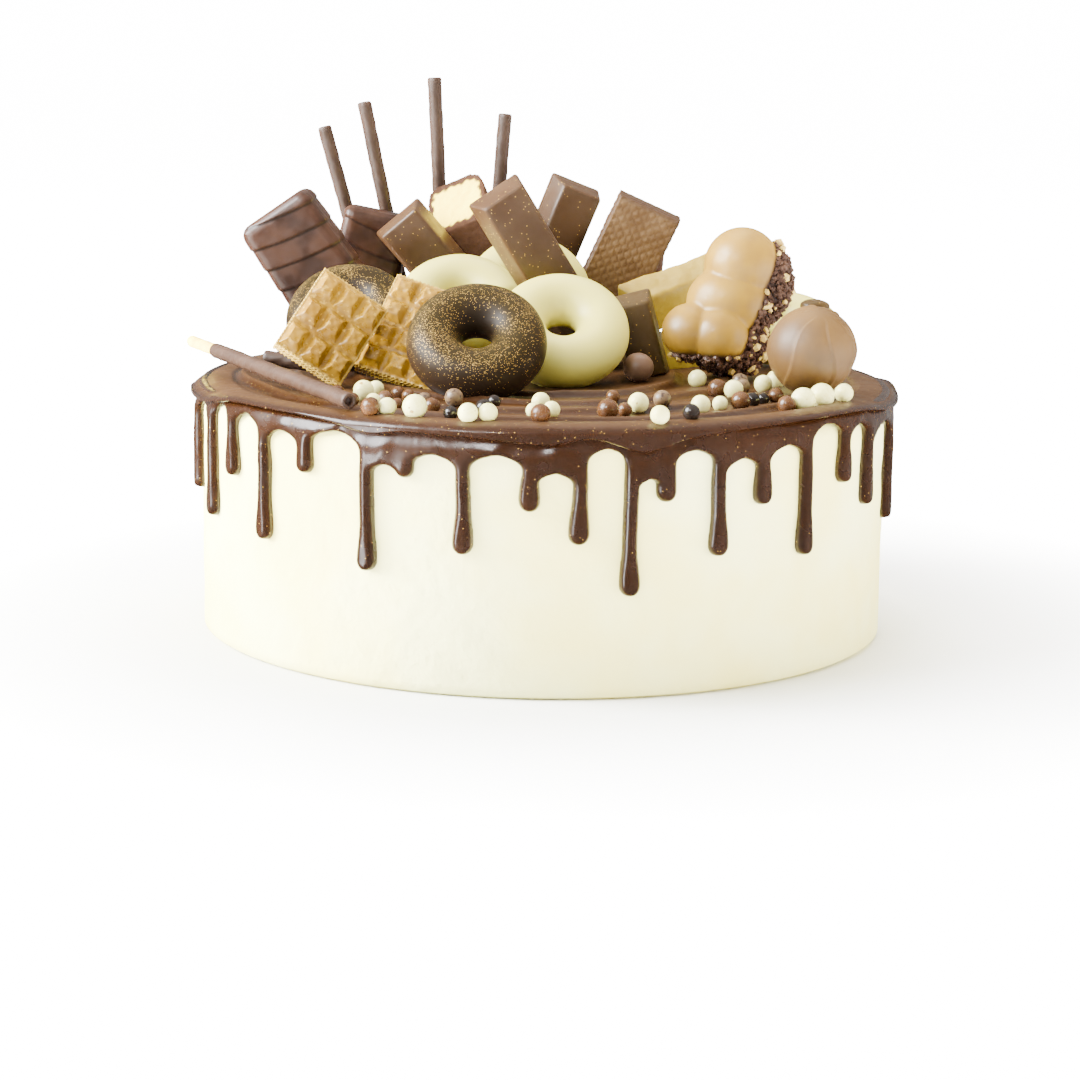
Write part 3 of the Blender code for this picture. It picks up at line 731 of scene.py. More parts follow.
FRONT_DRIPS = tuple(
    Drip(*row)
    for row in (
        (-89, 0.0520, 0.0720), (-79, 0.0440, 0.0720), (-66.8, 0.0393, 0.0742), (-58, 0.0540, 0.0734),
        (-48.6, 0.0378, 0.0707), (-39.2, 0.0595, 0.0725), (-27.5, 0.0340, 0.0649), (-21.1, 0.0615, 0.0685),
        (-12, 0.0410, 0.0691), (-1.9, 0.0537, 0.0644), (5.5, 0.0445, 0.0711), (13.2, 0.0297, 0.0627),
        (18.7, 0.0560, 0.0700), (27.4, 0.0397, 0.0668), (35.4, 0.0532, 0.0693), (44.5, 0.0367, 0.0738),
        (54.6, 0.0555, 0.0719), (63.2, 0.0467, 0.0697), (78, 0.0378, 0.0710), (88, 0.0520, 0.0720),
    )
)


@dataclass
class Drips:
    """The lower layer of ganache: a band round the edge that runs down into drips."""

    bench: Workbench
    stem: float = 0.00225
    bulb: float = 0.0031
    short_stem: float = 0.0030
    short: float = 0.021
    proud: float = 0.0031
    root: float = 0.0012
    top: float = 0.0768
    flare_height: float = 0.0088
    voxel: float = 0.00062
    melt_from: float = 0.0610
    melt_above: float = 0.0680
    melt_rounds: int = 34
    bead: float = 0.0016
    web_dip: float = 0.14
    recess: float = 0.0018
    back_pitch: float = 10.3
    seed: int = 7

    def all_drips(self) -> list[Drip]:
        """The drips of the front, and a seeded set for the rest of the way round."""
        chance = random.Random(self.seed)
        drips = list(FRONT_DRIPS)
        start, stop = FRONT_DRIPS[-1].azimuth, FRONT_DRIPS[0].azimuth + 360
        count = round((stop - start) / self.back_pitch)
        for step in range(1, count):
            azimuth = start + (stop - start) * step / count
            azimuth += chance.uniform(-1.4, 1.4)
            tip = min(chance.uniform(0.034, 0.060) + step % 2 * 0.008, 0.060)
            drips.append(Drip(azimuth, tip, chance.uniform(0.066, 0.0725)))
        return drips

    def half_width(self, above: np.ndarray, stem: float) -> np.ndarray:
        """Half a drip's width: a round bulb under a slimmer stem.

        Args:
            above: heights above its tip.
            stem: half the stem's width.

        Returns:
            The half width at each height.
        """
        bulb = max(self.bulb, stem)
        round_part = np.sqrt(np.clip(bulb**2 - (bulb - np.minimum(above, bulb)) ** 2, 0, None))
        return round_part + (stem - bulb) * ease(above, bulb, bulb * 4.6)

    def flare(self, height: np.ndarray, arch: float, half_gap: float) -> np.ndarray:
        """Half a drip's width on one side, where it widens to meet its neighbour over an arch.

        Args:
            height: heights above the cake's foot.
            arch: the height of the arch.
            half_gap: half the way to the neighbour.

        Returns:
            The half width at each height.
        """
        depth = np.clip((arch - height) / self.flare_height, 0, 1)
        inside = half_gap * (1 - np.sqrt(1 - (1 - depth) ** 2))
        return np.where(height > arch, half_gap * (1 + np.minimum((height - arch) / 0.008, 0.35)), inside)

    def drip(self, index: int, drip: Drip, before: Drip, after: Drip) -> bpy.types.Object:
        """One drip as a closed form, from a sphere.

        Args:
            index: its number, which seeds its sway.
            drip: the drip.
            before: its neighbour on the left.
            after: its neighbour on the right.

        Returns:
            The drip's own mesh.
        """
        piece = self.bench.ball(f"drip_{index}", 44, 56)
        stem = self.short_stem if self.top - drip.tip < self.short else self.stem
        left_gap = math.radians((drip.azimuth - before.azimuth) % 360) * CAKE_RADIUS / 2
        right_gap = math.radians((after.azimuth - drip.azimuth) % 360) * CAKE_RADIUS / 2
        sway = Waves(100 + index, 1, 3, 0.00022)
        crease = TopLayer.edge(np.array([math.radians(drip.azimuth)]))

        def shape(points: np.ndarray) -> np.ndarray:
            """The sphere's points drawn out into the drip, its flat back in the wall.

            Args:
                points: the sphere's points, in rows.

            Returns:
                The moved points.
            """
            down = np.arccos(np.clip(points[:, 2], -1, 1)) / math.pi
            down = 1 - (1 - down) ** 1.35
            height = self.top - (self.top - drip.tip) * down
            above = height - drip.tip
            narrow = self.half_width(above, stem)
            left = np.maximum(narrow, self.flare(height, before.arch, left_gap))
            right = np.maximum(narrow, self.flare(height, drip.arch, right_gap))
            closing = np.sqrt(np.clip((self.top - height) / 0.0006, 0, 1))
            turn = np.arctan2(points[:, 1], points[:, 0])
            side = np.where(np.cos(turn) < 0, left, right)
            edge = np.minimum(side, stem + (self.bead - stem) * ease(side, stem, stem * 2.2))
            inward = side * (1 - np.abs(np.cos(turn)))
            rise = np.sqrt(np.clip(1 - (1 - np.clip(inward / np.maximum(edge, 1e-6), 0, 1)) ** 2, 0, 1))
            rise = rise * (1 - self.web_dip * ease(inward, self.bead, self.bead * 3.2))
            out = self.proud * np.minimum(1, 0.30 + 0.70 * narrow / stem) * np.minimum(1, narrow / stem * 1.6)
            out = out - self.recess * ease(height, crease - 0.0042, crease - 0.0004)
            swing = sway.at(height / 0.02) * ease(self.top - height, 0.008, 0.02)
            along = side * np.cos(turn) * closing + swing
            radius = CAKE_RADIUS + np.where(np.sin(turn) > 0, out * rise, self.root * np.sin(turn)) * closing
            return around(radius, math.radians(drip.azimuth) + along / CAKE_RADIUS, height)

        return self.bench.reshape(piece, shape)

    def band(self) -> bpy.types.Object:
        """The ring over the cake's edge that every drip hangs from."""
        inner = CAKE_RADIUS - 0.0025
        outer = CAKE_RADIUS + self.proud - self.recess
        profile = np.array([
            (inner, 0.0748), (inner, 0.0768), (outer - 0.0012, 0.0768), (outer - 0.0003, 0.0762),
            (outer, 0.0752), (outer - 0.0004, 0.0742), (CAKE_RADIUS + 0.0012, 0.0736),
            (CAKE_RADIUS - 0.0012, 0.0738), (inner, 0.0748),
        ])

        def shape(where: np.ndarray) -> np.ndarray:
            """The profile turned round the cake."""
            steps = np.linspace(0, 1, len(profile))
            radius, height = (np.interp(where[:, 1], steps, column) for column in profile.T)
            return around(radius, where[:, 0] * 2 * math.pi, height)

        return self.bench.grid("band", 320, len(profile) - 1, shape)

    def build(self) -> None:
        """Makes the band and drips as one smooth skin."""
        drips = self.all_drips()
        pieces = [self.band()]
        for index, drip in enumerate(drips):
            pieces.append(self.drip(index + 1, drip, drips[index - 1], drips[(index + 1) % len(drips)]))
        piece = self.bench.joined("ganache_drips", pieces)
        self.bench.skinned(piece, self.voxel, 4)
        self.melt(piece)
        self.bench.settle(piece, GANACHE, node="ganache")

    def melt(self, piece: bpy.types.Object) -> None:
        """Melts the drips' upper parts into one smooth skirt.

        Args:
            piece: the joined drips.
        """
        group = piece.vertex_groups.new(name="skirt")
        weights = ease(self.bench.points(piece)[:, 2], self.melt_from, self.melt_above)
        for index in np.flatnonzero(weights):
            group.add([int(index)], float(weights[index]), "REPLACE")
        self.bench.modify(piece, "SMOOTH", factor=0.5, iterations=self.melt_rounds, vertex_group="skirt")
        piece.vertex_groups.clear()


@dataclass
class TopLayer:
    """The upper layer of ganache: spatula ridges, the rim and a wavy edge lapping over it."""

    bench: Workbench
    rim: float = 0.1040
    side_rim: float = 0.0975
    ridge_radii: tuple[float, ...] = (0.041, 0.058, 0.075, 0.092)
    ridge_height: float = 0.0019
    climb: float = 0.0115
    fall: float = 0.0028
    turn_under: float = 0.0007
    columns: int = 460
    rows: int = 200

    FLAT_END = 0.72
    BEND_END = 0.88
    SIDE_END = 0.95
    EDGE = (
        (-95, 0.0738), (-66, 0.0740), (-56, 0.0766), (-48, 0.0768), (-39, 0.0766), (-33, 0.0757),
        (-26.2, 0.0730), (-21.3, 0.0748), (-13.6, 0.0744), (-6.3, 0.0737), (0.9, 0.0723), (7.1, 0.0750),
        (14.8, 0.0699), (21.6, 0.0741), (29.9, 0.0755), (41.5, 0.0763), (54, 0.0764), (61, 0.0758),
        (72, 0.0740), (95, 0.0738),
    )

    @staticmethod
    def from_front(turn: np.ndarray) -> np.ndarray:
        """Azimuths in radians as degrees from -180 to 180."""
        return (np.degrees(turn) + 180) % 360 - 180

    @staticmethod
    def edge(turn: np.ndarray) -> np.ndarray:
        """The height of the wavy lower edge: by the table in front, by waves behind.

        Args:
            turn: azimuths in radians.

        Returns:
            The height at each.
        """
        degrees = TopLayer.from_front(turn)
        table = np.array(TopLayer.EDGE)
        smooth = np.zeros_like(degrees)
        for shift, weight in ((-2.0, 0.25), (0.0, 0.5), (2.0, 0.25)):
            smooth += weight * np.interp(degrees + shift, table[:, 0], table[:, 1])
        behind = 0.0738 + Waves(21, 5, 14, 0.0010).at(turn)
        share = ease(np.abs(degrees), 80, 95)
        return smooth * (1 - share) + behind * share

    def past_ridges(self, radius: np.ndarray, turn: np.ndarray) -> list[np.ndarray]:
        """For each ridge, how far outside its swaying crest each place is."""
        sway = Waves(31, 2, 9, 0.0010).at(turn)
        return [radius + sway * (1 + 0.3 * index) - crest for index, crest in enumerate(self.ridge_radii)]

    def height(self, radius: np.ndarray, turn: np.ndarray) -> np.ndarray:
        """The height of the top, each ridge gentle inside and steep outside.

        Args:
            radius: distances from the axis.
            turn: azimuths in radians.

        Returns:
            The height at each place.
        """
        total = np.zeros_like(radius)
        for index, away in enumerate(self.past_ridges(radius, turn)):
            climb = np.clip(1 + away / self.climb, 0, 1) ** 1.6 * (away <= 0)
            fall = np.clip(1 - away / self.fall, 0, 1) ** 1.5 * (away > 0)
            strength = 0.9 + Waves(40 + index, 2, 7, 0.12).at(turn)
            total = np.maximum(total, (climb + fall) * strength)
        lip = ease(radius, self.rim - 0.0090, self.rim - 0.0010)
        fine = 0.00007 * np.sin(radius * 2600 + Waves(50, 1, 6, 1.2).at(turn))
        return TOP_Z - self.ridge_height * (1 - np.maximum(total, lip)) + fine * (1 - lip)

    def warm(self, points: np.ndarray) -> np.ndarray:
        """How matt and light the layer is: less on the rim, and less as painted shade on a ridge's steep side.

        Args:
            points: places on the layer, in rows.

        Returns:
            The share at each, from 0 to 1.
        """
        radius = np.hypot(points[:, 0], points[:, 1])
        turn = np.arctan2(points[:, 0], -points[:, 1])
        share = 1 - ease(radius, 0.1062, 0.1096)
        # Painted shade: each ridge's steep outer side takes less of the lighter accent, so it shows darker.
        for away in self.past_ridges(radius, turn):
            share *= 1 - 0.8 * ease(away, 0.0001, 0.0008) * (1 - ease(away, 0.0022, 0.0048))
        return share

    def shape(self, where: np.ndarray) -> np.ndarray:
        """Points of the layer: across the top, over the rim, down to the edge and under it.

        Args:
            where: rows of (u, v), u round the cake and v outwards and down.

        Returns:
            The points, in rows.
        """
        turn = where[:, 0] * 2 * math.pi
        v = where[:, 1]
        aside = ease(np.abs(self.from_front(turn)), 48, 76)
        rim = self.rim + (self.side_rim - self.rim) * aside + Waves(61, 3, 12, 0.0004).at(turn)
        flat = np.clip(v / self.FLAT_END, 0, 1)
        radius = rim * (1 - (1 - flat) ** 1.15)
        height = self.height(radius, turn)
        bend = np.clip((v - self.FLAT_END) / (self.BEND_END - self.FLAT_END), 0, 1) * math.pi / 2
        edge = self.edge(turn)
        crown = np.minimum(0.0030 + 0.0012 * aside, (TOP_Z - edge) * 0.8)
        radius = radius + (OUTER_RADIUS - 0.0001 - rim) * np.sin(bend)
        height = height - crown * (1 - np.cos(bend))
        down = np.clip((v - self.BEND_END) / (self.SIDE_END - self.BEND_END), 0, 1)
        height = height - (height - edge - self.turn_under) * down
        curl = np.clip((v - self.SIDE_END) / (1 - self.SIDE_END), 0, 1) * math.pi / 2
        height = height - self.turn_under * np.sin(curl)
        radius = radius - 2 * self.turn_under * (1 - np.cos(curl))
        return around(radius, turn, height)

    def build(self) -> None:
        """Makes the layer."""
        piece = self.bench.grid("ganache_top", self.columns, self.rows, self.shape)
        self.bench.paint(piece, self.warm)
        self.bench.settle(piece, GANACHE_TOP, node="ganache")


@dataclass
class Pearls:
    """Sugar pearls of one colour on the ganache, as one piece.

    Places hold x and y from the axis and a diameter, in millimetres.
    """

    bench: Workbench
    name: str
    finish: Finish
    places: tuple[tuple[float, float, float], ...]
    sink: float = 0.13

    def build(self) -> None:
        """Makes the pearls, each sunk a little into the layer under it."""
        layer = TopLayer(self.bench)
        made = []
        for x, y, across in np.array(self.places) / 1000:
            under = layer.height(np.array([math.hypot(x, y)]), np.array([math.atan2(x, -y)]))
            height = float(under[0]) + across * (0.5 - self.sink)
            pearl = self.bench.ball("pearl", 28, 18, across / 2)
            pearl.data.transform(Matrix.Translation((x, y, height)))
            made.append(pearl)
        piece = self.bench.joined(self.name, made)
        self.bench.settle(piece, self.finish, node="ganache")


WHITE_PEARLS = (
    (-53, -55, 6.2), (-50, -46, 5.0), (-49, -73, 4.6), (-44, -91, 5.3), (-36, -96, 7.0), (-21, -103, 5.6),
    (-15.5, -101.5, 5.4), (-1, -67, 5.4), (-3, -81, 4.5), (2, -90, 5.0), (27, -72, 6.0), (32, -101, 5.4),
    (47, -14, 5.8), (45, -69, 5.7), (56, -46, 5.8), (51, -63, 4.6), (66, -30, 5.6), (70.5, -21.5, 5.8),
    (75, -64, 7.2), (81, -57.5, 7.4), (88, -52, 5.6),
)
MILK_PEARLS = (
    (-61, -52, 4.7), (-46, -65, 5.2), (-55, -73, 4.0), (-48.5, -93.5, 5.5), (-43, -52, 4.4), (-42, -75, 3.9),
    (-39.5, -62, 4.0), (-32, -77, 4.8), (-1, -101, 5.7), (20, -56, 4.1), (18, -84, 6.2), (23, -76.5, 4.2),
    (52, -34, 6.0), (57, -62, 5.8), (68.5, -47, 4.7), (70, -67, 5.5),
)
SPECKLED_PEARLS = ((-34.5, -68, 4.6), (-26, -70, 5.4), (34, -66.5, 5.2), (60, -26, 4.8), (60, -15.5, 5.2))
DARK_PEARLS = (
    (-26, -97, 4.1), (-17, -84, 5.3), (-14.5, -69, 4.0), (41, -94, 4.9), (61, -55, 4.6),
    (64.5, -49.5, 3.8),
)
BACK_PEARL_GROUPS = (((58, 72), 6), ((-40, 84), 5))


def back_pearls() -> list[tuple[float, float, float]]:
    """The pearls behind the chocolates: a seeded ring of a few round each group's middle."""
    chance = random.Random(11)
    found = []
    for (x, y), count in BACK_PEARL_GROUPS:
        for step in range(count):
            spread = 11 * chance.uniform(0.6, 1)
            spot = direction(360 * step / count) * spread
            found.append((x + spot.x, y + spot.y, 1000 * chance.uniform(0.0044, 0.0060)))
    return found


# Chocolates


@dataclass
class Donut:
    """A moulded chocolate ring whose hole looks up at an elevation."""

    bench: Workbench
    name: str
    centre: Point
    elevation: float
    facing: float
    finish: Finish
    size: float = 1.0
    ring: float = 0.0128
    tube: float = 0.0082

    def build(self) -> None:
        """Makes the ring."""
        bpy.ops.mesh.primitive_torus_add(
            major_segments=112, minor_segments=48, major_radius=self.ring * self.size,
            minor_radius=self.tube * self.size,
        )
        piece = self.bench.started(self.name + "_ring")
        self.bench.roughen(piece, 0.012, 0.0002)
        matrix = turned(self.centre, direction(self.facing, self.elevation))
        self.bench.settle(piece, self.finish, matrix, self.name)


@dataclass
class Waffle:
    """A wafer of raised pillowy cells on both faces, with ragged cut edges."""

    bench: Workbench
    name: str
    centre: Point
    lean: float
    toward: float
    facing: float
    rows: int
    size: tuple[float, float]
    thickness: float = 0.0046
    relief: float = 0.0022
    columns: int = 3

    def cell(self, along: np.ndarray, count: int) -> np.ndarray:
        """How far this place is into a cell: 0 in a groove, 1 on its top."""
        phase = np.abs((along * count) % 1 - 0.5) * 2
        slope = np.clip((phase - 0.44) / 0.42, 0, 1)
        return 1 - 0.75 * slope - 0.25 * ease(slope, 0, 1)

    def border(self, points: np.ndarray) -> np.ndarray:
        """How far each place is from the nearest cut edge."""
        width, height = self.size
        across, up = points[:, 0] / width + 0.5, points[:, 2] / height
        return np.minimum(np.minimum(across, 1 - across) * width, np.minimum(up, 1 - up) * height)

    def shape(self, points: np.ndarray) -> np.ndarray:
        """The box's points pushed out into cells, with uneven edges.

        Args:
            points: the box's points, in rows.

        Returns:
            The moved points, the wafer's middle at the origin.
        """
        width, height = self.size
        across, up = points[:, 0] / width + 0.5, points[:, 2] / height
        cells = np.minimum(self.cell(across, self.columns), self.cell(up, self.rows))
        border = self.border(points)
        side = points[:, 1] / (self.thickness / 2)
        ripple = 0.00012 * np.sin(points[:, 0] * 2100) * np.sin(points[:, 2] * 1700 + 1)
        thick = self.thickness / 2 + self.relief * cells + ripple
        ragged = ease(-border, -0.0005, 0) * 0.0002
        moved = points.copy()
        moved[:, 1] = side * thick
        moved[:, 0] += ragged * np.sin(points[:, 2] * 5100 + points[:, 1] * 2900)
        moved[:, 2] += ragged * np.sin(points[:, 0] * 4700 + points[:, 1] * 3100) - height / 2
        return moved

    def build(self) -> None:
        """Makes the wafer."""
        width, height = self.size
        piece = self.bench.block(self.name + "_wafer", (width, self.thickness, height), 0.0, 84)
        pale = 1 - ease(self.border(self.bench.points(piece)), 0.0001, 0.0006)
        self.bench.reshape(piece, self.shape)
        self.bench.paint(piece, lambda _: pale * 0.8)
        matrix = posed(self.centre, self.lean, self.toward, self.facing)
        self.bench.settle(piece, GOLDEN, matrix, self.name, 34)


@dataclass
class Bar:
    """A standing bar: its foot, size, lean and finish."""

    bench: Workbench
    name: str
    foot: Point
    size: tuple[float, float, float]
    lean: float
    toward: float
    facing: float
    finish: Finish
    edge: float = 0.001
    suffix: str = "_bar"
    cuts: int = 5

    def matrix(self) -> Matrix:
        """Where the bar stands."""
        return posed(self.foot, self.lean, self.toward, self.facing)

    def body(self) -> bpy.types.Object:
        """The bar in its own frame: a block with rounded edges."""
        piece = self.bench.block(self.name + self.suffix, self.size)
        return self.bench.rounded(piece, self.edge)

    def build(self) -> None:
        """Makes the bar."""
        piece = self.body()
        self.bench.edit(piece, lambda: bpy.ops.mesh.subdivide(number_cuts=self.cuts))
        self.bench.roughen(piece, 0.008, 0.00012)
        self.bench.settle(piece, self.finish, self.matrix(), self.name, 50)


@dataclass
class Finger(Bar):
    """A moulded finger with sloping sides and a narrower front."""

    narrow: float = 0.0145 / 0.019
    slope: float = 0.00225
    suffix: str = "_finger"

    def body(self) -> bpy.types.Object:
        """The finger in its own frame."""
        piece = self.bench.block(self.name + self.suffix, self.size)

        def taper(points: np.ndarray) -> np.ndarray:
            """The block's front drawn in on all sides.

            Args:
                points: the block's corners, in rows.

            Returns:
                The moved corners.
            """
            moved = points.copy()
            front = points[:, 1] < 0
            moved[front, 0] *= self.narrow
            moved[front, 2] += np.where(points[front, 2] > 0, -self.slope, self.slope)
            return moved

        self.bench.reshape(piece, taper)
        return self.bench.rounded(piece, self.edge)


@dataclass
class LyingFinger(Finger):
    """A finger laid between two points, its front rolled back and its surface uneven."""

    start: Point = (0.0, 0.0, 0.0)
    end: Point = (0.0, 0.0, 0.0)
    roll: float = 0.0
    cuts: int = 1

    def body(self) -> bpy.types.Object:
        """The finger, worn and broken at its ends."""
        piece = self.bench.skinned(super().body(), 0.0006, 5)
        self.bench.roughen(piece, 0.011, 0.0008)
        return self.bench.roughen(piece, 0.003, 0.00025)

    def matrix(self) -> Matrix:
        """Where the finger lies."""
        axis = Vector(self.end) - Vector(self.start)
        lean = math.degrees(axis.angle(Vector((0, 0, 1))))
        toward = math.degrees(math.atan2(axis.x, -axis.y))
        turn = Matrix.Rotation(math.radians(self.roll), 4, axis.normalized())
        flat = posed((0, 0, 0), lean, toward, 0)
        return Matrix.Translation(self.start) @ turn @ flat


@dataclass
class FilledBar(Bar):
    """A coated filled bar whose coating lies in ripples across it."""

    edge: float = 0.0034
    ripple: float = 0.0078
    ripple_height: float = 0.00045
    tilt: float = 0.21
    bow: float = 0.0008

    def phase(self, points: np.ndarray) -> np.ndarray:
        """How far up its own ripple each place is, from 0 to 1."""
        bow = self.bow * np.cos(points[:, 0] / self.size[0] * 3)
        return ((points[:, 2] + points[:, 0] * self.tilt + bow) / self.ripple) % 1

    def rippled(self, points: np.ndarray) -> np.ndarray:
        """The points pushed out to the ripples, most at the foot of each.

        Args:
            points: the plain bar's points, in rows.

        Returns:
            The moved points.
        """
        step = self.phase(points)
        lift = self.ripple_height * (ease(step, 0.0, 0.10) * (1 - step) ** 0.8 - 0.45)
        width, thickness, _ = self.size
        moved = points.copy()
        away = np.c_[points[:, 0] / width * 2, points[:, 1] / thickness * 2]
        moved[:, :2] += away * lift[:, None]
        return moved

    def build(self) -> None:
        """Makes the bar with its ripples, and a painted shadow where each one ends."""
        piece = self.bench.skinned(self.body(), 0.00042, 3)
        step = self.phase(self.bench.points(piece))
        self.bench.reshape(piece, self.rippled)
        # Painted shadow: the darker accent along each ripple's step, under the ripple above.
        dark = ease(step, 0.93, 0.985) + (1 - ease(step, 0.02, 0.06))
        self.bench.paint(piece, lambda _: dark * 0.9)
        self.bench.settle(piece, self.finish, self.matrix(), self.name)


@dataclass
class CoconutBar(Bar):
    """A coated coconut bar cut across at a slant, its white middle showing."""

    crust: float = 0.0017
    cut: float = 45.0
    corner: float = 0.004
    soft_corner: float = 0.0014

    def build(self) -> None:
        """Makes the bar with the cut face white and the coating brown."""
        width, thickness, length = self.size
        piece = self.bench.block(self.name + "_bar", (width, thickness, length * 1.3))
        self.bench.rounded(piece, self.corner, 6)
        slope = math.radians(self.cut)
        normal = (0, -math.cos(slope), math.sin(slope))
        cut = {"plane_co": (0, 0, length), "plane_no": normal, "use_fill": True, "clear_outer": True}
        self.bench.edit(piece, lambda: bpy.ops.mesh.bisect(**cut))
        self.bench.skinned(piece, 0.0005, 3)

        def crusted(points: np.ndarray) -> np.ndarray:
            """How much coating shows: none on the cut face, inside a ragged crust.

            Args:
                points: the bar's points, in rows.

            Returns:
                The share at each, from 0 to 1.
            """
            above = points @ np.array(normal) - length * math.sin(slope)
            in_x = width / 2 - np.abs(points[:, 0])
            in_y = thickness / 2 - np.abs(points[:, 1])
            fuzz = 0.00022 * np.sin(points[:, 0] * 2100 + 2 * np.sin(points[:, 2] * 1300))
            fuzz += 0.0002 * np.sin(points[:, 0] * 950 + points[:, 1] * 1430 + points[:, 2] * 700)
            soft = self.soft_corner
            inside = -soft * np.log(np.exp(-in_x / soft) + np.exp(-in_y / soft)) + fuzz
            cut_face = ease(above, -0.0009, -0.0005)
            return 1 - cut_face * ease(inside, self.crust - 0.0003, self.crust + 0.0003)

        self.bench.paint(piece, crusted)
        self.bench.roughen(piece, 0.0022, 0.00022)
        self.bench.settle(piece, COCONUT, self.matrix(), self.name)


@dataclass
class WaferSlab(Bar):
    """A flat slab with a faint diamond pattern pressed into its faces."""

    pitch: float = 0.0034
    depth: float = 0.00022
    edge_drop: float = 0.0007

    def border(self, points: np.ndarray) -> np.ndarray:
        """How far each place is from the nearest edge of the slab's face."""
        width, _, length = self.size
        return np.minimum(width / 2 - np.abs(points[:, 0]), length - points[:, 2])

    def pressed(self, points: np.ndarray) -> np.ndarray:
        """The points sunk along the pattern's lines and towards the edges.

        Args:
            points: the plain slab's points, in rows.

        Returns:
            The moved points.
        """
        half = self.size[1] / 2
        lines = np.maximum(
            np.cos((points[:, 0] + points[:, 2]) * 2 * math.pi / self.pitch),
            np.cos((points[:, 0] - points[:, 2]) * 2 * math.pi / self.pitch),
        )
        edge = 1 - ease(self.border(points), 0.0, 0.0011)
        sunk = self.depth * ease(lines, 0.2, 1.0) + self.edge_drop * edge**2
        moved = points.copy()
        moved[:, 1] = points[:, 1] / half * (half - sunk)
        uneven = 0.0001 * np.sin(points[:, 2] * 2300 + points[:, 1] * 900)
        moved[:, 0] += np.sign(points[:, 0]) * uneven * edge
        return moved

    def build(self) -> None:
        """Makes the slab."""
        piece = self.bench.block(self.name + "_slab", self.size, cuts=96)
        plain = self.bench.points(piece)
        dark = 1 - ease(self.border(plain), 0.0002, 0.0012)
        flat = np.abs(plain[:, 1]) < self.size[1] / 2 * 0.98
        self.bench.reshape(piece, self.pressed)
        self.bench.paint(piece, lambda _: np.maximum(dark * 0.8, flat * 0.9))
        self.bench.settle(piece, SLAB, self.matrix(), self.name, 50)


@dataclass
class Stick:
    """A coated stick between two points, bare over a length at its start where it has one."""

    bench: Workbench
    name: str
    start: Point
    end: Point
    bare: float = 0.0
    radius: float = 0.0024
    bare_radius: float = 0.0019
    bare_start: float = 0.0012
    bare_hidden: float = 0.004
    uneven: float = 0.03
    end_gap: float = 0.0001

    HOLLOW = ((0, 0.9), (0.42, 0.8), (0.55, 0.08), (0.72, 0.0), (0.92, 0.08), (1, 0.35))

    def rod(self, name: str, low: float, high: float, radius: float, seed: int) -> bpy.types.Object:
        """A rolled rod along Z with hollow ends and slightly uneven sides.

        Args:
            name: the piece's name.
            low: where it starts.
            high: where it ends.
            radius: half its width where it is widest.
            seed: of its unevenness.

        Returns:
            The piece.
        """
        sway = Waves(seed, 1, 5, radius * self.uneven)
        radius = radius * (1 - self.uneven)
        near = [(share, low + deep * radius + self.end_gap) for share, deep in self.HOLLOW]
        far = [(share, high - deep * radius - self.end_gap) for share, deep in reversed(self.HOLLOW)]
        profile = np.array(near + far)
        steps = np.r_[np.linspace(0, 0.15, 6), np.linspace(0.85, 1, 6)]

        def shape(where: np.ndarray) -> np.ndarray:
            """The rod's points.

            Args:
                where: rows of (u, v), u round the rod and v along its profile.

            Returns:
                The points, in rows.
            """
            turn = where[:, 0] * 2 * math.pi
            height = np.interp(where[:, 1], steps, profile[:, 1])
            width = radius * np.interp(where[:, 1], steps, profile[:, 0])
            width = width * (1 + sway.at(turn + height * 260) / radius)
            return np.c_[width * np.cos(turn), width * np.sin(turn), height]

        return self.bench.grid(name, 36, 150, shape)

    def build(self) -> None:
        """Makes the stick: the coated rod, and the bare end as its own piece."""
        axis = Vector(self.end) - Vector(self.start)
        matrix = turned(self.start, axis)
        seed = sum(map(ord, self.name))
        coated = self.rod(self.name + "_coated", self.bare, axis.length, self.radius, seed)
        self.bench.settle(coated, STICK, matrix, self.name)
        if self.bare:
            top = self.bare + self.bare_hidden
            end = self.rod(self.name + "_biscuit", self.bare_start, top, self.bare_radius, seed + 1)
            self.bench.settle(end, BISCUIT, matrix, self.name)


def standing_stick(
    bench: Workbench, name: str, foot: Point, length: float, lean: float, toward: float,
) -> Stick:
    """A stick that stands in the ganache and leans.

    Args:
        bench: the workbench.
        name: the piece's name.
        foot: where it goes into the ganache.
        length: how far it reaches from there.
        lean: degrees between it and the vertical.
        toward: the azimuth that it leans to.

    Returns:
        The stick.
    """
    along = direction(toward, 90 - lean)
    return Stick(bench, name, tuple(Vector(foot) - along * FOOT_DEPTH), tuple(Vector(foot) + along * length))


